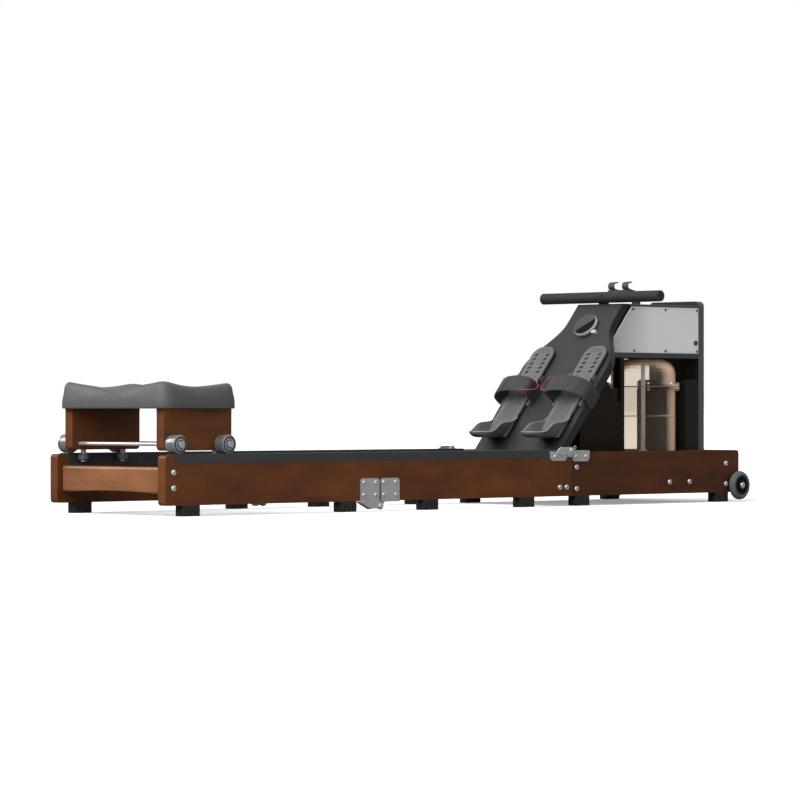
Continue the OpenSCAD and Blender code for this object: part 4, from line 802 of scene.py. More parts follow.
def woven_webbing(name, base):
    """Woven nylon webbing: ribs across the strap, two threads deep, drawn as wide as they show, and painted shade
    that darkens their low places.
    """
    made, tree, place = new_material(name, Sheen_Weight=0.25, Sheen_Roughness=0.4)
    threads_per_metre = per_mm(size("weave"))
    # The wave's bands lie 0.314 units apart, so that each rib is two threads wide
    ribs = add_node(
        tree,
        "TexWave",
        {"Vector": place, "Scale": threads_per_metre / 6.28, "Distortion": 0.4, "Detail": 1.0},
        "Fac",
        wave_type="BANDS",
        bands_direction="DIAGONAL",
    )
    threads = add_node(
        tree, "TexVoronoi", {"Vector": place, "Scale": threads_per_metre}, "Distance", feature="F1"
    )
    fuzz = add_node(tree, "TexNoise", {"Vector": place, "Scale": per_mm(20), "Detail": 4, "Roughness": 0.55})
    height = add_node(tree, "Mix", {0: 0.5, MIX_A: ribs, MIX_B: threads}, MIX_OUT, data_type="RGBA")
    shades = {0: fuzz, MIX_A: shade_of(base, 0.85), MIX_B: shade_of(base, 1.15)}
    tone = add_node(tree, "Mix", shades, MIX_OUT, data_type="RGBA")
    # Painted shade: the colour darkens where the weave lies low
    weave_shade = {0: 0.25, MIX_A: tone, MIX_B: height}
    tone = add_node(tree, "Mix", weave_shade, MIX_OUT, data_type="RGBA", blend_type="MULTIPLY")
    lay_finish(tree, base, tone, (fuzz, 0.68, 0.82), (height, 0.4, 0.18))
    return made


def braided_cord(name, base):
    """Braided polyester or elastic cord: crossing strands, darker between them as painted shade, and a light
    sheen.
    """
    made, tree, place = new_material(name, Sheen_Weight=0.3, Roughness=0.6)
    strands = add_node(tree, "TexVoronoi", {"Vector": place, "Scale": per_mm(0.9)}, "Distance", feature="F1")
    # Painted shade: lighter in the middle of each strand, darker in the gaps between strands
    lay_finish(tree, base, (strands, 1.15, 0.6), None, (strands, 0.4, 0.2))
    return made


def closed_foam(name, base):
    """Closed-cell rubber foam: cells drawn as coarse as they need to show, on a dull, dry surface."""
    made, tree, place = new_material(name, Specular_IOR_Level=0.3)
    froth = {"Vector": place, "Scale": per_mm(size("foam_cell"))}
    cells = add_node(tree, "TexVoronoi", froth, "Distance", feature="F1")
    soil = add_node(tree, "TexNoise", {"Vector": place, "Scale": per_mm(35), "Detail": 3, "Roughness": 0.55})
    lay_finish(tree, base, (soil, 0.85, 1.25), (soil, 0.62, 0.75), (cells, 0.4, 0.15))
    return made


def clear_polycarbonate(name, base, start=0.3):
    """Moulded polycarbonate, faintly warm: clear and slightly wavy from moulding. At grazing angles its colour
    turns copper and it lets less light through, as a painted highlight along the edges."""
    made, tree, place = new_material(name, IOR=1.45, Specular_Tint=(*linear("#ffddc4"), 1))
    wave = add_node(tree, "TexNoise", {"Vector": place, "Scale": per_mm(45), "Detail": 1, "Roughness": 0.55})
    facing = add_node(tree, "LayerWeight", {"Blend": 0.5}, "Facing")
    # Painted highlight: copper colour at grazing angles, standing in for light refracted along the wall
    edge = add_node(tree, "ValToRGB", {"Fac": facing}, stops=((start, 0.0), (start + 0.3, 1.0)))
    shades = {0: wave, MIX_A: (*base, 1), MIX_B: shade_of(base, 0.97)}
    clear = add_node(tree, "Mix", shades, MIX_OUT, data_type="RGBA")
    painted_edge_glint = {0: edge, MIX_A: clear, MIX_B: (*hue("painted_edge_glow"), 1)}
    tone = add_node(tree, "Mix", painted_edge_glint, MIX_OUT, data_type="RGBA")
    lay_finish(tree, base, tone, (wave, 0.015, 0.05), (wave, 0.1, 0.3))
    through = add_node(tree, "MapRange", {"Value": edge, "To Min": 0.975, "To Max": 0.08})
    join(tree.nodes["Principled BSDF"], {"Transmission Weight": through})
    return made


def display_glass(name, base):
    """Display glass, smooth, over a grey face that a slanting edge splits into a grey half and a black half, as a
    painted reflection.
    """
    made, tree, place = new_material(name, Specular_IOR_Level=0.12)
    low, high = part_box("monitor_face")
    # The slanting edge between the two halves of the painted reflection
    slant = (on_board(-0.74, -0.67, 0) - on_board(0, 0, 0)).normalized()
    edge = ((low + high) / 2).dot(slant) + 1.5 * MM
    along = add_node(tree, "VectorMath", {0: place, 1: tuple(slant)}, "Value", operation="DOT_PRODUCT")
    painted_reflection_split = add_node(
        tree, "MapRange", {"Value": along, "From Min": edge - 0.2 * MM, "From Max": edge + 0.2 * MM}
    )
    haze = add_node(tree, "TexNoise", {"Vector": place, "Scale": per_mm(30), "Detail": 1, "Roughness": 0.55})
    shades = {0: haze, MIX_A: shade_of(base, 0.9), MIX_B: shade_of(base, 1.08)}
    painted_reflection_grey = add_node(tree, "Mix", shades, MIX_OUT, data_type="RGBA")
    painted_reflection_halves = {0: painted_reflection_split, MIX_A: painted_reflection_grey, MIX_B: (*linear("#070707"), 1)}
    tone = add_node(tree, "Mix", painted_reflection_halves, MIX_OUT, data_type="RGBA")
    lay_finish(tree, base, tone, (haze, 0.16, 0.22))
    return made


# The finishes: the function that makes each, its name, its colour, and what else the function takes
FINISHES = {
    "wood_x": (stained_rubberwood, "Stained rubberwood, grain along X", "wood", "x"),
    "wood_y": (stained_rubberwood, "Stained rubberwood, grain along Y", "wood", "y"),
    # A darker colour for the rails under the tank
    "front_wood": (stained_rubberwood, "Dark stained rubberwood", "front_wood", "x"),
    # Paler wood under a thicker, glossier lacquer
    "end_wood": (stained_rubberwood, "Light stained rubberwood", "end_wood", "y", 0.5),
    # Near black as painted shade, for the shade under the footboard, so that the grain hardly shows
    "dark_wood": (stained_rubberwood, "Black stained rubberwood", "dark_wood", "z"),
    "lacquer": (black_lacquer, "Black lacquered fibreboard", "lacquer"),
    # Lighter outside and near black inside, as painted light and shade
    "wall": (wall_lacquer_painted_light_and_shade, "Black lacquered wall", "lacquer"),
    "track": (extruded_vinyl, "Extruded vinyl", "track"),
    "rubber": (moulded_rubber, "Moulded rubber", "rubber"),
    # Denser and smoother than rubber, with a soft gloss
    "tyre": (moulded_rubber, "Cast polyurethane", "tyre", (0.38, 0.55)),
    # Soft and matt, and warm in colour between the clear flanges
    "gasket": (moulded_rubber, "Silicone gasket", "gasket"),
    "zinc": (zinc_plate, "Zinc-plated steel", "zinc"),
    "brushed": (brushed_steel, "Brushed stainless steel", "brushed"),
    "polished": (polished_steel, "Polished steel", "polished"),
    "nickel": (nickel_plate, "Nickel-plated ABS", "nickel"),
    "roller": (turned_aluminium, "Turned aluminium", "roller"),
    "powder": (powder_coat, "Black powder coat", "powder"),
    "nylon": (moulded_plastic, "Moulded grey nylon", "nylon"),
    # Lighter than the nylon round it as a painted highlight along the rim, and glossier
    "rim": (moulded_plastic, "Rubbed nylon rim", "rim", 0.7, (0.3, 0.4)),
    # A finer grit than the grey nylon's, and a little more gloss
    "hub": (moulded_plastic, "Moulded black nylon", "hub", 0.6, (0.35, 0.5)),
    # The finest and shallowest grit, with an even low gloss
    "abs": (moulded_plastic, "Moulded black ABS", "powder", 0.5, (0.35, 0.48), 0.03),
    "cushion": (foam_skin, "Integral-skin foam", "cushion"),
    "webbing": (woven_webbing, "Nylon webbing", "webbing"),
    "loop": (braided_cord, "Braided polyester cord", "loop"),
    # A black textile cover over rubber
    "elastic": (braided_cord, "Braided elastic cord", "rubber"),
    "foam": (closed_foam, "Closed-cell foam", "foam"),
    "tank": (clear_polycarbonate, "Clear polycarbonate", "tank"),
    # Its painted edge highlight begins further in, because the dome curves away sooner than the tank
    "dome": (clear_polycarbonate, "Clear polycarbonate dome", "dome", 0.16),
    "screen": (display_glass, "Display glass", "screen"),
}


def material(finish):
    """The material of a finish, made when it is first asked for."""
    maker, name, base, *rest = FINISHES[finish]
    return bpy.data.materials.get(name) or maker(name, hue(base), *rest)


# Pieces


class RowerPiece:
    """What the operators of the rowing machine share."""

    bl_options = {"REGISTER", "UNDO"}


class ROWER_OT_woodwork(RowerPiece, bpy.types.Operator):
    """Stained rails, beams, boards and seat sides with rounded edges"""

    bl_idname = "rower.woodwork"
    bl_label = "Woodwork"

    def execute(self, context):
        edge = size("wood_edge")
        finish_nodes(("rear_rails", "middle_rails", "seat_frame"), "wood_x", edge)
        finish_nodes(("front_rails",), "front_wood", edge)
        finish_nodes(("middle_board", "front_beams", "base_board"), "wood_y", edge)
        finish_nodes(("rear_end_beam",), "end_wood", edge)
        finish_nodes(("cheek_boards",), "dark_wood", edge)
        return {"FINISHED"}


class ROWER_OT_tracks_and_feet(RowerPiece, bpy.types.Operator):
    """Vinyl track caps and rubber feet"""

    bl_idname = "rower.tracks_and_feet"
    bl_label = "Tracks and feet"

    def execute(self, context):
        finish_nodes(("rear_tracks", "middle_tracks"), "track", size("moulded_edge"))
        finish_nodes(("rear_feet", "middle_feet", "front_feet"), "rubber", size("moulded_edge"))
        return {"FINISHED"}


class ROWER_OT_hinges(RowerPiece, bpy.types.Operator):
    """Zinc-plated hinge plates, and a spring pin at each upper pivot bolt"""

    bl_idname = "rower.hinges"
    bl_label = "Hinges"

    def execute(self, context):
        leaves = ("rear_hinge_leaves", "middle_lower_leaves", "middle_upper_leaves", "front_hinge_leaves")
        finish_nodes(leaves, "zinc", size("metal_edge"))
        shape = Shape()
        for side in (-1, 1):
            shape.tube(self.split_pin(side), PIN_WIRE, 8)
        make_piece("split_pins", shape, "polished", "middle", sharp=60)
        return {"FINISHED"}

    def split_pin(self, side):
        """Path of a spring pin: a straight leg through the bolt's head, and a ring above it."""
        x, y, z = PIVOT_HEAD
        leg = [at(x - 9 + k, side * y, z - 5 + 0.6 * k) for k in range(0, 19, 3)]
        ring = []
        for k in range(1, 12):
            a = math.radians(-60 + 30 * k)
            out = side * (y + 0.15 * k)
            ring.append(at(x + 11 + PIN_RING * math.cos(a), out, z + 9.6 + PIN_RING * math.sin(a)))
        return leg + ring


class ROWER_OT_bolts(RowerPiece, bpy.types.Operator):
    """Button-head bolts and screws with hex sockets, and the bolts that carry the wheels"""

    bl_idname = "rower.bolts"
    bl_label = "Bolts and screws"

    def execute(self, context):
        sections = (
            ("rear", END_BOLTS, LOW_REAR_SCREWS),
            ("middle", MIDDLE_BOLTS, LOW_MIDDLE_SCREWS + UP_MIDDLE_SCREWS),
            ("front", FRONT_BOLTS, UP_FRONT_SCREWS),
        )
        for section, bolts, screws in sections:
            shape = Shape()
            for side in (-1, 1):
                for x, z in bolts:
                    button_head(shape, x, side * RAIL_OUT, z, *BOLT_HEAD)
                for x, z in screws:
                    button_head(shape, x, side * (RAIL_OUT + HINGE_PLATE), z, *SCREW_HEAD)
                if section == "front":
                    self.wheel_bolt(shape, side)
            make_piece(
                f"{section}_screw_heads", shape, "polished", section, (f"{section}_bolts",)
            )
        return {"FINISHED"}

    def wheel_bolt(self, shape, side):
        """The axle bolt of a wheel: shank, nut inside the rail, washers at the rail and the hub, and head."""
        parts = (
            (RAIL_IN - 6.5, [(3.2, -1), (3.9, -0.4), (4, 61)], 24),
            (RAIL_IN - 6, [(hexagon(6.4), 0), (hexagon(7), 0.6), (hexagon(7), 5.9)], 24),
            (RAIL_OUT, [(8, 0.1), (8.2, 0.6), (8.2, 2), (7.8, 2.4)], 32),
            (HUB_FACE, [(8.8, 0.1), (9, 0.5), (8.8, 0.9)], 32),
        )
        for y, profile, sides in parts:
            shape.turned(at(WHEEL_X, side * y, WHEEL_Z), (0, side, 0), profile, sides)
        button_head(shape, WHEEL_X, side * (HUB_FACE + 0.85), WHEEL_Z, *AXLE_HEAD)


class ROWER_OT_wheels(RowerPiece, bpy.types.Operator):
    """Cast tyres on moulded hubs"""

    bl_idname = "rower.wheels"
    bl_label = "Transport wheels"

    def execute(self, context):
        finish_nodes(("wheel_tyre_right", "wheel_tyre_left"), "tyre")
        finish_nodes(("wheel_hub_right", "wheel_hub_left"), "hub", 0.3)
        return {"FINISHED"}


class ROWER_OT_head(RowerPiece, bpy.types.Operator):
    """Footboard, front wall, console rails and cover"""

    bl_idname = "rower.head"
    bl_label = "Footboard and console"

    def execute(self, context):
        finish_nodes(("foot_board",), "lacquer", 1.2)
        finish_nodes(("front_wall",), "wall", 2.0)
        finish_nodes(("console_frame", "top_cover"), "powder", size("metal_edge"))
        finish_nodes(("side_panels",), "brushed", 0.4)
        finish_nodes(("panel_fasteners",), "abs", 0.3)
        finish_nodes(("strap_roller",), "polished")
        finish_nodes(("device_holder",), "abs", size("moulded_edge"))
        return {"FINISHED"}


class ROWER_OT_monitor(RowerPiece, bpy.types.Operator):
    """Nickel-plated monitor case and its display window"""

    bl_idname = "rower.monitor"
    bl_label = "Monitor"

    def execute(self, context):
        finish_nodes(("monitor_case",), "nickel", 0.4)
        finish_nodes(("monitor_face",), "screen", 0.2)
        return {"FINISHED"}


def cup_width(s):
    """Half width of the heel cup at s along its back wall."""
    start = HEEL_LEN - CUP_TIP
    if s <= start:
        return CUP_ROOT + (CUP_TIP - CUP_ROOT) * s / start
    return math.sqrt(max(0, CUP_TIP**2 - (s - start) ** 2))


def cup_at(s, q, out, side):
    """A point of a heel cup, in the frame's metres.

    It lies s along the cup's back wall and q across it, from -1 to 1, inside for out 0 and outside for
    out 1, on the right or left foot. The floor of the cup turns up into its wall from 0.45 of its width.
    """
    wall = max(0, (abs(q) - 0.45) / 0.55) ** 2.4
    tip = max(0, (s - HEEL_BEND) / (HEEL_LEN - HEEL_BEND)) ** 2 * TIP_RISE
    flank = (HEEL_DEPTH - HEEL_LOW) / (1 + math.exp((s - HEEL_BEND) / 5))
    depth = HEEL_LOW + flank + HEEL_LOW * math.exp(-s / 6)
    x = tip + (depth - tip) * wall - out * HEEL_WALL * (1 - 0.9 * wall)
    y = (cup_width(s) + out * HEEL_WALL * min(1, max(0, abs(q) * 2 - 0.4))) * q
    foot = PLATE_DEEP / 2
    z = s + (foot / math.cos(HEEL_LEAN) - x * math.tan(HEEL_LEAN)) * (1 - s / HEEL_LEN)
    v = HEEL_V + x * math.cos(HEEL_LEAN) - z * math.sin(HEEL_LEAN)
    d = SLIDE_D + x * math.sin(HEEL_LEAN) + z * math.cos(HEEL_LEAN)
    return on_board(v, side * (FOOT_Y + y), d)


class ROWER_OT_foot_rests(RowerPiece, bpy.types.Operator):
    """Foot plates with slots, ribbed beds and moulded heel cups, on their bases"""

    bl_idname = "rower.foot_rests"
    bl_label = "Foot rests"

    def execute(self, context):
        finish_nodes(("foot_bases",), "nylon", size("moulded_edge"))
        for name, side in SIDES:
            body = f"foot_slide_{name}"
            rim, grooves = self.rim(side), self.grooves(side)
            make_piece(
                f"foot_cup_{name}", self.cup_and_bed(side), "nylon", body, (body,), sharp=50
            )
            self.plate(name, side)
            make_piece(f"foot_cup_rim_{name}", rim, "rim", body, sharp=60)
            make_piece(f"foot_grooves_{name}", grooves, "abs", body, sharp=60)
        return {"FINISHED"}

    def cup_stations(self):
        """Places along the cup's back wall, closer together near the plate and at the round tip."""
        start = HEEL_LEN - CUP_TIP
        back = [start * (i / 24) ** 1.5 for i in range(25)]
        return back + [start + CUP_TIP * math.sin(math.radians(a)) for a in range(4, 87, 4)]

    def cup_and_bed(self, side):
        """The cup's shell as a closed loft, with seven low ribs up the plate and five across its toe."""
        shape = Shape()
        across = [-1 + 2 * i / 48 for i in range(49)]
        rings = []
        for s in self.cup_stations():
            inner = [cup_at(s, q, 0, side) for q in across]
            outer = [cup_at(s, q, 1, side) for q in reversed(across)]
            rings.append(inner + outer)
        shape.loft(rings if side < 0 else [list(reversed(ring)) for ring in rings])
        for i in range(-3, 4):
            y = side * (FOOT_Y + i * RIB_PITCH)
            shape.tube([on_board(v, y, PLATE_FACE + 0.1) for v in (HEEL_V + 14, HEEL_V + 16, 184, 186)], 0.95, 8)
        for i in range(5):
            v, half = 338 + 3.2 * i, 24 - 2.2 * i
            shape.tube([on_board(v, side * FOOT_Y + y, PLATE_FACE) for y in (-half, 0, half)], 0.6, 8)
        return shape

    def rim(self, side):
        """The rounded bead along the cup's rim, lighter than the rest as a painted highlight."""
        left, right = (
            [(cup_at(s, edge, 0, side) + cup_at(s, edge, 1, side)) / 2 for s in self.cup_stations()]
            for edge in (-1, 1)
        )
        shape = Shape()
        shape.tube(left + right[::-1], size("rim_bead"), 10)
        return shape

    def grooves(self, side):
        """Dark strips between the ribs of the bed, as painted shade in the hollows between them."""
        shape = Shape()
        for i in range(6):
            y = side * (FOOT_Y + (i - 2.5) * RIB_PITCH)
            shape.tube([on_board(v, y, PLATE_FACE - 0.15) for v in (96, 98, 196, 198)], 0.6, 8)
        return shape

    def plate(self, name, side):
        """The flat plate as a filled outline with a rounded toe, two rows of slots and a small hole below each."""
        curve = bpy.data.curves.new(f"foot_plate_{name}", "CURVE")
        curve.dimensions = "2D"
        curve.fill_mode = "BOTH"
        curve.extrude = (PLATE_DEEP / 2 - PLATE_EDGE) * MM
        curve.bevel_depth = PLATE_EDGE * MM
        curve.bevel_resolution = 2
        curve.offset = -PLATE_EDGE * MM
        ends = ((PLATE_LOW, -1), (PLATE_HIGH, -1), (PLATE_HIGH, 1), (PLATE_LOW, 1))
        corners = [Vector((x, y * PLATE_HALF)) for x, y in ends]
        outlines = [rounded_outline(corners, (0, TOE_ROUND, TOE_ROUND, 0))]
        for i, (lean, radius, half) in enumerate([(25, 3.5, 3.2)] * 5 + [(0, 2, 0)]):
            for column in (-HOLE_COLUMN, HOLE_COLUMN):
                outlines.append(slot_outline(TOP_HOLE - i * HOLE_PITCH, column, lean, radius, half))
        for outline in outlines:
            add_spline(curve, [(p.x * MM, p.y * MM, 0) for p in outline], closed=True)
        flat = link_object(f"foot_plate_{name}", curve)
        evaluated = flat.evaluated_get(bpy.context.evaluated_depsgraph_get())
        mesh = bpy.data.meshes.new_from_object(evaluated)
        turn = Matrix((BOARD_UP, BOARD_OUT.cross(BOARD_UP), BOARD_OUT)).transposed().to_4x4()
        mesh.transform(Matrix.Translation(on_board(0, side * FOOT_Y, SLIDE_D + PLATE_DEEP / 2)) @ turn)
        mesh.name = f"foot_plate_{name}"
        bpy.data.objects.remove(flat)
        mesh.materials.clear()
        mesh.materials.append(material("nylon"))
        plate = link_object(f"foot_plate_{name}", mesh)
        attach(plate, f"foot_slide_{name}")


class ROWER_OT_foot_straps(RowerPiece, bpy.types.Operator):
    """Webbing straps with sewn edges, round the footboard and over the feet"""

    bl_idname = "rower.foot_straps"
    bl_label = "Foot straps"

    def execute(self, context):
        corners = [Vector(place) for place in STRAP_PATH]
        # Small bends at the board's edge, and a smooth curve over the foot
        flat = rounded_path(corners[:3], 2.6)[:-1] + smooth_path(corners[2:], 6)
        for name, side in SIDES:
            path = [on_board(STRAP_MIDDLE, side * p.x, p.y) for p in flat]
            shape = Shape()
            section = STRAP_SECTION if side > 0 else list(reversed(STRAP_SECTION))
            shape.band(path, lambda i: BOARD_UP, section)
            make_piece(
                f"foot_strap_webbing_{name}",
                shape,
                "webbing",
                "front",
                (f"foot_strap_{name}",),
                sharp=60,
            )
            self.lap(name, side, flat)
        return {"FINISHED"}

    def lap(self, name, side, flat):
        """The doubled end of the strap, and the two rows of stitches that hold it."""
        path = [on_board(STRAP_MIDDLE, side * p.x, p.y) for p in flat if 112 <= p.x <= 150 and p.y > 30]
        shape = Shape()
        shape.band(path, lambda i: BOARD_UP, [(w, -t if side > 0 else t) for w, t in reversed(LAP_SECTION)])
        make_piece(f"strap_lap_{name}", shape, "webbing", "front", sharp=60)
        thread = Shape()
        for end, inner in ((path[0], path[1]), (path[-1], path[-2])):
            along = (inner - end).normalized()
            out = BOARD_UP.cross(along)
            if out.dot(BOARD_OUT) < 0:
                out.negate()
            row = end + along * 3 * MM + out * 2.5 * MM
            for k in range(-5, 6):
                thread.tube([row + BOARD_UP * (4.6 * k + w) * MM for w in (-1.5, 0, 1.5)], 0.45, 6)
        make_piece(f"strap_stitches_{name}", thread, "foam", "front", sharp=60)


class ROWER_OT_pull_loops(RowerPiece, bpy.types.Operator):
    """Thin cord loops sewn to the inner ends of the foot straps"""

    bl_idname = "rower.pull_loops"
    bl_label = "Pull loops"

    def execute(self, context):
        half = STRAP_W / 2 - 4
        for name, side in SIDES:
            points = []
            for a in (math.pi * k / 24 for k in range(25)):
                y = side * (52 - LOOP_REACH * math.sin(a))
                points.append(on_board(STRAP_MIDDLE + half * math.cos(a), y, 56.5 - 17 * math.sin(a) ** 2))
            loop = make_cord(
                f"pull_loop_{name}", points, LOOP_WIRE, "loop", "front", ("pull_loops",)
            )
        return {"FINISHED"}


class ROWER_OT_tank(RowerPiece, bpy.types.Operator):
    """Clear tank and dome, gasket, flange bolts, paddle, drum and the drum's elastic cord"""

    bl_idname = "rower.tank"
    bl_label = "Water tank"

    def execute(self, context):
        finish_nodes(("tank_body",), "tank")
        finish_nodes(("tank_dome",), "dome")
        finish_nodes(("tank_gasket",), "gasket")
        finish_nodes(("tank_bolts",), "polished", 0.3)
        finish_nodes(("fill_plug",), "rubber", 0.6)
        finish_nodes(("paddle",), "brushed", 0.4)
        finish_nodes(("strap_drum",), "abs", 0.4)
        points = [at(WALL_INNER_X - RECOIL_LONG * k / 6, RECOIL_Y, RECOIL_Z) for k in range(7)]
        cord = make_cord("recoil_elastic", points, 3, "elastic", "front", ("recoil_cord",))
        return {"FINISHED"}


class ROWER_OT_handle(RowerPiece, bpy.types.Operator):
    """Handle bar with two foam grips"""

    bl_idname = "rower.handle"
    bl_label = "Handle"

    def execute(self, context):
        finish_nodes(("handle_bar",), "foam", 0.5)
        r, start, end = GRIP_R, GRIP_FROM + 1.8, GRIP_TO - 1.8
        profile = [(BAR_R, GRIP_FROM), (r - 1.2, GRIP_FROM - 0.1), (r - 0.25, GRIP_FROM + 0.5)]
        profile += [(r, start + (end - start) * k / 24) for k in range(25)]
        profile += [(r - 0.3, GRIP_TO - 0.6), (r - 1.2, GRIP_TO), (BAR_R, GRIP_TO), (BAR_R, GRIP_FROM)]
        shape = Shape()
        for side in (-1, 1):
            shape.turned(at(HANDLE_X, 0, HANDLE_Z), (0, side, 0), profile, 40, caps=(False, False))
        grips = make_piece("foam_grips", shape, "foam", "handle", ("handle_grips",), sharp=50)
        return {"FINISHED"}


class ROWER_OT_pull_strap(RowerPiece, bpy.types.Operator):
    """Strap from the handle over the roller, turning on edge on its way to the drum"""

    bl_idname = "rower.pull_strap"
    bl_label = "Pull strap"

    def execute(self, context):
        rows = self.rows()
        points = [at(x, y, z) for x, y, z, _ in rows]

        def across(i):
            run = heading(points, i)
            slope, twist = math.atan2(run.z, run.x), rows[i][3]
            return Vector(
                (-math.sin(twist) * math.sin(slope), math.cos(twist), math.sin(twist) * math.cos(slope))
            )

        shape = Shape()
        shape.band(points, across, PULL_SECTION)
        strap = make_mesh("pull_strap", shape, "webbing", sharp=50)
        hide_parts("handle_strap")
        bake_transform(strap)
        return {"FINISHED"}

    def rows(self):
        """Places along the strap in the CAD source's millimetres, each with the strap's twist."""
        over = ROLLER_R + 0.9 + 0.3
        lean = math.radians(35)
        start = Vector((HANDLE_X + 16.7 * math.sin(lean), HANDLE_Z - 16.7 * math.cos(lean)))
        bend = []
        for a in (math.radians(degrees) for degrees in range(128, 39, -8)):
            bend.append(Vector((ROLLER_X + over * math.cos(a), ROLLER_Z + over * math.sin(a))))
        last = bend[-1]
        turn = math.acos(DRUM_WRAP / (TANK_X - ROLLER_X - over * math.cos(math.radians(40))))
        drum = Vector((TANK_X - DRUM_WRAP * math.cos(turn), DRUM_WRAP * math.sin(turn), DRUM_Z))
        rows = [(p.x, 0, p.y, 0) for p in [start.lerp(bend[0], k / 8) for k in range(8)] + bend]
        for k in (i / 24 for i in range(1, 25)):
            x = last.x + (drum.x - last.x) * k
            z = drum.z + (last.y - drum.z) * (1 - k) ** 2.6
            rows.append((x, drum.y * k, z, math.pi / 2 * min(1, k / 0.75) ** 2))
        return rows


class ROWER_OT_seat_cushion(RowerPiece, bpy.types.Operator):
    """Moulded cushion with raised corners, two sitting hollows and a tailbone relief"""

    bl_idname = "rower.seat_cushion"
    bl_label = "Seat cushion"

    def execute(self, context):
        low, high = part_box("seat_cushion")
        self.centre = Vector(((low.x + high.x) / 2, (low.y + high.y) / 2, low.z))
        self.half = Vector(((high.x - low.x) / 2 / MM, (high.y - low.y) / 2 / MM))
        h = size("crown")
        # How far each ring lies in from the sides, and its height: the recessed underside and the lower sides
        level = [
            (21.7, 8.3), (21.7, 0.4), (20.9, 0), (12, 0), (4, 0), (1.6, 0.3), (0.5, 1.2), (0.1, 3), (0, 7),
            (0.1, 14), (0.8, 0.32 * h), (2.0, 0.42 * h), (4.0, 0.53 * h),
        ]
        # The same for the shoulders, by how far they lie below the crown
        shoulders = [(6.3, 14.5), (8.6, 10), (11, 6.4), (13.6, 3.8), (16.5, 2), (19.6, 0.9), (23, 0.3)]
        rings = [self.ring(inset, height) for inset, height in level]
        rings += [self.ring(inset, None, drop) for inset, drop in shoulders]
        rings += [self.ring(CUSHION_TOP, None, 0, 1 - k / 30) for k in range(30)]
        shape = Shape()
        shape.loft([list(reversed(ring)) for ring in reversed(rings)])
        cushion = make_piece(
            "seat_cushion_skin", shape, "cushion", "seat", ("seat_cushion",), sharp=70
        )
        return {"FINISHED"}

    def rise(self, a, b):
        """Height of the crown at a, b from -1 to 1 along and across the cushion."""
        both = a * a * b * b
        lift = size("crown") - 22 + 7 * (a * a + b * b - both) + (15 - 2 * (a + 1)) * both
        sit = size("hollow") * math.exp(-(a * a / 0.2 + (abs(b) - 0.4) ** 2 / 0.08))
        relief = 13 * math.exp(-((a + 1) ** 2 / 0.1 + b * b / 0.07))
        return lift - sit - relief

    def ring(self, inset, height, drop=0.0, share=1.0):
        """A rounded rectangle of points, level or on the crown, shrunk to a share of its size."""
        hx, hy = (self.half.x - inset) * share, (self.half.y - inset) * share
        r = max(6, CUSHION_CORNER - inset) * share
        corners = []
        for q, (sx, sy) in enumerate(((1, 1), (-1, 1), (-1, -1), (1, -1))):
            turns = [math.radians(90 * q + 9 * i) for i in range(11)]
            corners.append([(sx * (hx - r) + r * math.cos(a), sy * (hy - r) + r * math.sin(a)) for a in turns])
        points = []
        for corner, after in zip(corners, corners[1:] + corners[:1]):
            (x0, y0), (x1, y1) = corner[-1], after[0]
            points += corner + [(x0 + (x1 - x0) * i / 16, y0 + (y1 - y0) * i / 16) for i in range(1, 16)]
        ring = []
        for x, y in points:
            z = height
            if z is None:
                a = min(1, max(-1, x / (self.half.x - 20)))
                b = min(1, max(-1, y / (self.half.y - 20)))
                z = self.rise(a, b) - drop
            ring.append(self.centre + Vector((x, y, z)) * MM)
        return ring


class ROWER_OT_seat_hardware(RowerPiece, bpy.types.Operator):
    """Axle rods, track rollers with their bearings, and guide rollers"""

    bl_idname = "rower.seat_hardware"
    bl_label = "Seat rollers"

    def execute(self, context):
        finish_nodes(("seat_axles",), "polished", 0.4)
        for end, x in SEAT_ROLLERS:
            finish_nodes((f"{end}_rollers",), "roller")
            bearings, caps = Shape(), Shape()
            for side in (-1, 1):
                face = at(x, side * SEAT_ROLLER_Y, SEAT_ROLLER_Z)
                bearings.turned(face, (0, side, 0), BEARING, 40)
                caps.turned(face, (0, side, 0), INNER_RING, 40)
                caps.turned(face, (0, side, 0), OUTER_RING, 48)
            make_piece(f"{end}_bearings", bearings, "polished", f"{end}_rollers")
            make_piece(f"{end}_roller_caps", caps, "abs", f"{end}_rollers")
            finish_nodes((f"guide_{end}_right", f"guide_{end}_left"), "tyre")
        return {"FINISHED"}


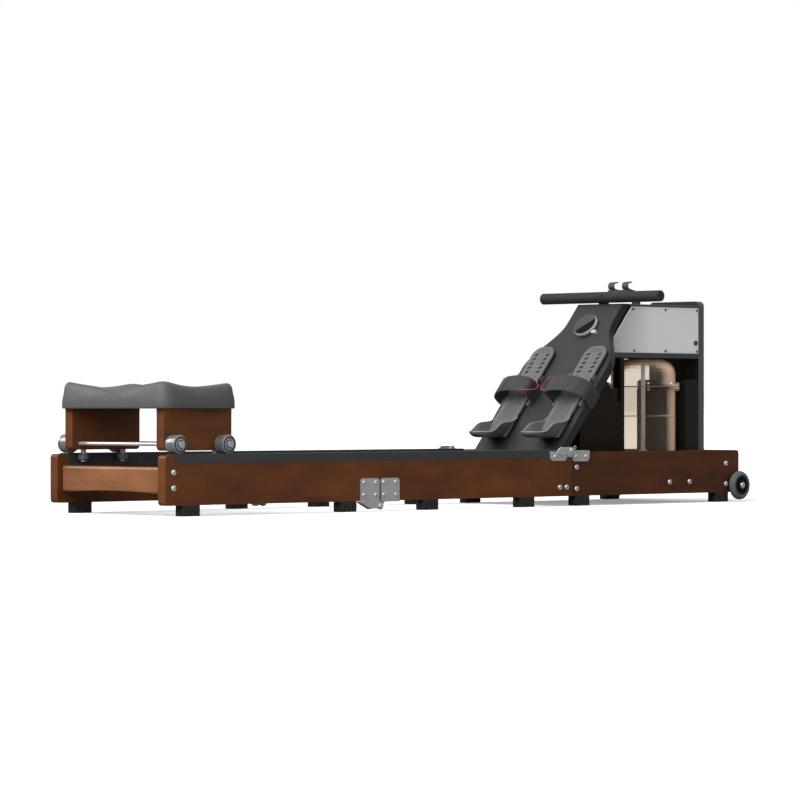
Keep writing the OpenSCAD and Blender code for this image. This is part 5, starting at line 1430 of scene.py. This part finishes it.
class ROWER_OT_stage(RowerPiece, bpy.types.Operator):
    """Pale floor, soft studio light and the photograph's camera"""

    bl_idname = "rower.stage"
    bl_label = "Stage"

    def execute(self, context):
        self.floor()
        self.studio(context.scene)
        self.key_light()
        for softbox in SOFTBOXES:
            self.softbox(*softbox)
        self.camera(context.scene)
        context.scene.view_settings.view_transform = "Standard"
        return {"FINISHED"}

    def floor(self):
        """A wide floor, which looks pale but throws little light back up."""
        mesh = bpy.data.meshes.new("floor")
        s = FLOOR_REACH
        mesh.from_pydata([(-s, -s, 0), (s, -s, 0), (s, s, 0), (-s, s, 0)], [], [(0, 1, 2, 3)])
        finish, tree, place = new_material(
            "Painted studio floor", Roughness=0.9, Specular_IOR_Level=0.1, Emission_Strength=0.3
        )
        cloud = add_node(tree, "TexNoise", {"Vector": place, "Scale": per_mm(900), "Detail": 2, "Roughness": 0.55})
        lay_finish(tree, hue("floor"), (cloud, 0.985, 1.0))
        # The light that goes up is held down, as over a dark stage, so that the machine's sides keep their depth.
        dull = add_node(tree, "BsdfDiffuse", {"Color": (*linear("#7c7c7c"), 1)})
        plain = tree.nodes["Principled BSDF"].outputs["BSDF"]
        surface = add_node(tree, "MixShader", {"Fac": self.seen_plainly(tree), 1: dull, 2: plain})
        join(tree.nodes["Material Output"], {"Surface": surface})
        mesh.materials.append(finish)
        link_object("floor", mesh)

    def seen_plainly(self, tree):
        """1 for rays that come straight from the eye or through clear plastic, and 0 for lighting."""
        rays = add_node(tree, "LightPath").node.outputs
        unmirrored = add_node(tree, "Math", {0: rays["Glossy Depth"], 1: 0.5}, operation="LESS_THAN")
        through = add_node(tree, "Math", {0: rays["Is Transmission Ray"], 1: unmirrored}, operation="MULTIPLY")
        return add_node(tree, "Math", {0: rays["Is Camera Ray"], 1: through}, operation="MAXIMUM")

    def studio(self, scene):
        """A white backdrop, whose light on the machine is stronger from above than from the sides."""
        scene.world = bpy.data.worlds.new("studio")
        scene.world.use_nodes = True
        tree = scene.world.node_tree
        tree.nodes.remove(tree.nodes["Background"])
        direction = add_node(tree, "TexCoord", output="Generated")
        up = add_node(tree, "SeparateXYZ", {"Vector": direction}, "Z")
        strength = add_node(tree, "MapRange", {"Value": up, "To Min": 0.07, "To Max": 0.8})
        glow = add_node(tree, "Background", {"Color": (1, 1, 1, 1), "Strength": strength})
        backdrop = add_node(tree, "Background", {"Color": (1, 1, 1, 1), "Strength": 1.0})
        seen = add_node(tree, "MixShader", {"Fac": self.seen_plainly(tree), 1: glow, 2: backdrop})
        join(tree.nodes["World Output"], {"Surface": seen})

    def key_light(self):
        """A broad, high light from the rear end of the machine."""
        sun = bpy.data.lights.new("key", "SUN")
        sun.energy = KEY_POWER
        sun.angle = math.radians(KEY_SPREAD)
        link_object("key", sun).rotation_euler = Vector(KEY_PATH).to_track_quat("-Z", "Y").to_euler()

    def softbox(self, name, place, target, measures, power, unseen):
        """A softbox of that width and height, aimed at a point, which the unseen kinds of rays don't meet."""
        lamp = bpy.data.lights.new(name, "AREA")
        lamp.shape = "RECTANGLE"
        lamp.size, lamp.size_y = measures
        lamp.energy = power
        box = link_object(name, lamp)
        box.location = place
        box.rotation_euler = (Vector(target) - Vector(place)).to_track_quat("-Z", "Y").to_euler()
        for rays in unseen:
            setattr(box, f"visible_{rays}", False)

    def camera(self, scene):
        """The photograph's camera, fitted to the rails and feet."""
        camera = bpy.data.cameras.new("camera")
        camera.lens = CAMERA_LENS
        camera.sensor_width = 36
        camera.clip_start, camera.clip_end = 0.1, 400
        eye = link_object("camera", camera)
        turn, pitch = math.radians(CAMERA_HEADING), math.radians(CAMERA_PITCH)
        sight = Vector((math.sin(turn) * math.cos(pitch), math.cos(turn) * math.cos(pitch), math.sin(pitch)))
        eye.location = CAMERA_PLACE
        eye.rotation_euler = sight.to_track_quat("-Z", "Y").to_euler()
        scene.camera = eye


PIECES = (
    ROWER_OT_woodwork,
    ROWER_OT_tracks_and_feet,
    ROWER_OT_hinges,
    ROWER_OT_bolts,
    ROWER_OT_wheels,
    ROWER_OT_head,
    ROWER_OT_monitor,
    ROWER_OT_foot_rests,
    ROWER_OT_foot_straps,
    ROWER_OT_pull_loops,
    ROWER_OT_tank,
    ROWER_OT_handle,
    ROWER_OT_pull_strap,
    ROWER_OT_seat_cushion,
    ROWER_OT_seat_hardware,
    ROWER_OT_stage,
)


class ROWER_PT_panel(bpy.types.Panel):
    """Lists the rowing machine's pieces, sizes and colours"""

    bl_idname = "ROWER_PT_panel"
    bl_label = "Rowing machine"
    bl_space_type = "VIEW_3D"
    bl_region_type = "UI"
    bl_category = "Rower"

    def draw(self, context):
        for piece in PIECES:
            self.layout.operator(piece.bl_idname)
        for group in (context.scene.rower_sizes, context.scene.rower_colours):
            for name in group.__annotations__:
                self.layout.prop(group, name)


CLASSES = (RowerSizes, RowerColours, *PIECES, ROWER_PT_panel)


def register():
    for cls in CLASSES:
        bpy.utils.register_class(cls)
    bpy.types.Scene.rower_sizes = PointerProperty(type=RowerSizes)
    bpy.types.Scene.rower_colours = PointerProperty(type=RowerColours)


def unregister():
    del bpy.types.Scene.rower_sizes
    del bpy.types.Scene.rower_colours
    for cls in reversed(CLASSES):
        bpy.utils.unregister_class(cls)


def main():
    """Makes every piece in order."""
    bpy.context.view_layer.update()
    register()
    for piece in PIECES:
        group, name = piece.bl_idname.split(".")
        getattr(getattr(bpy.ops, group), name)()


if __name__ == "__main__":
    main()
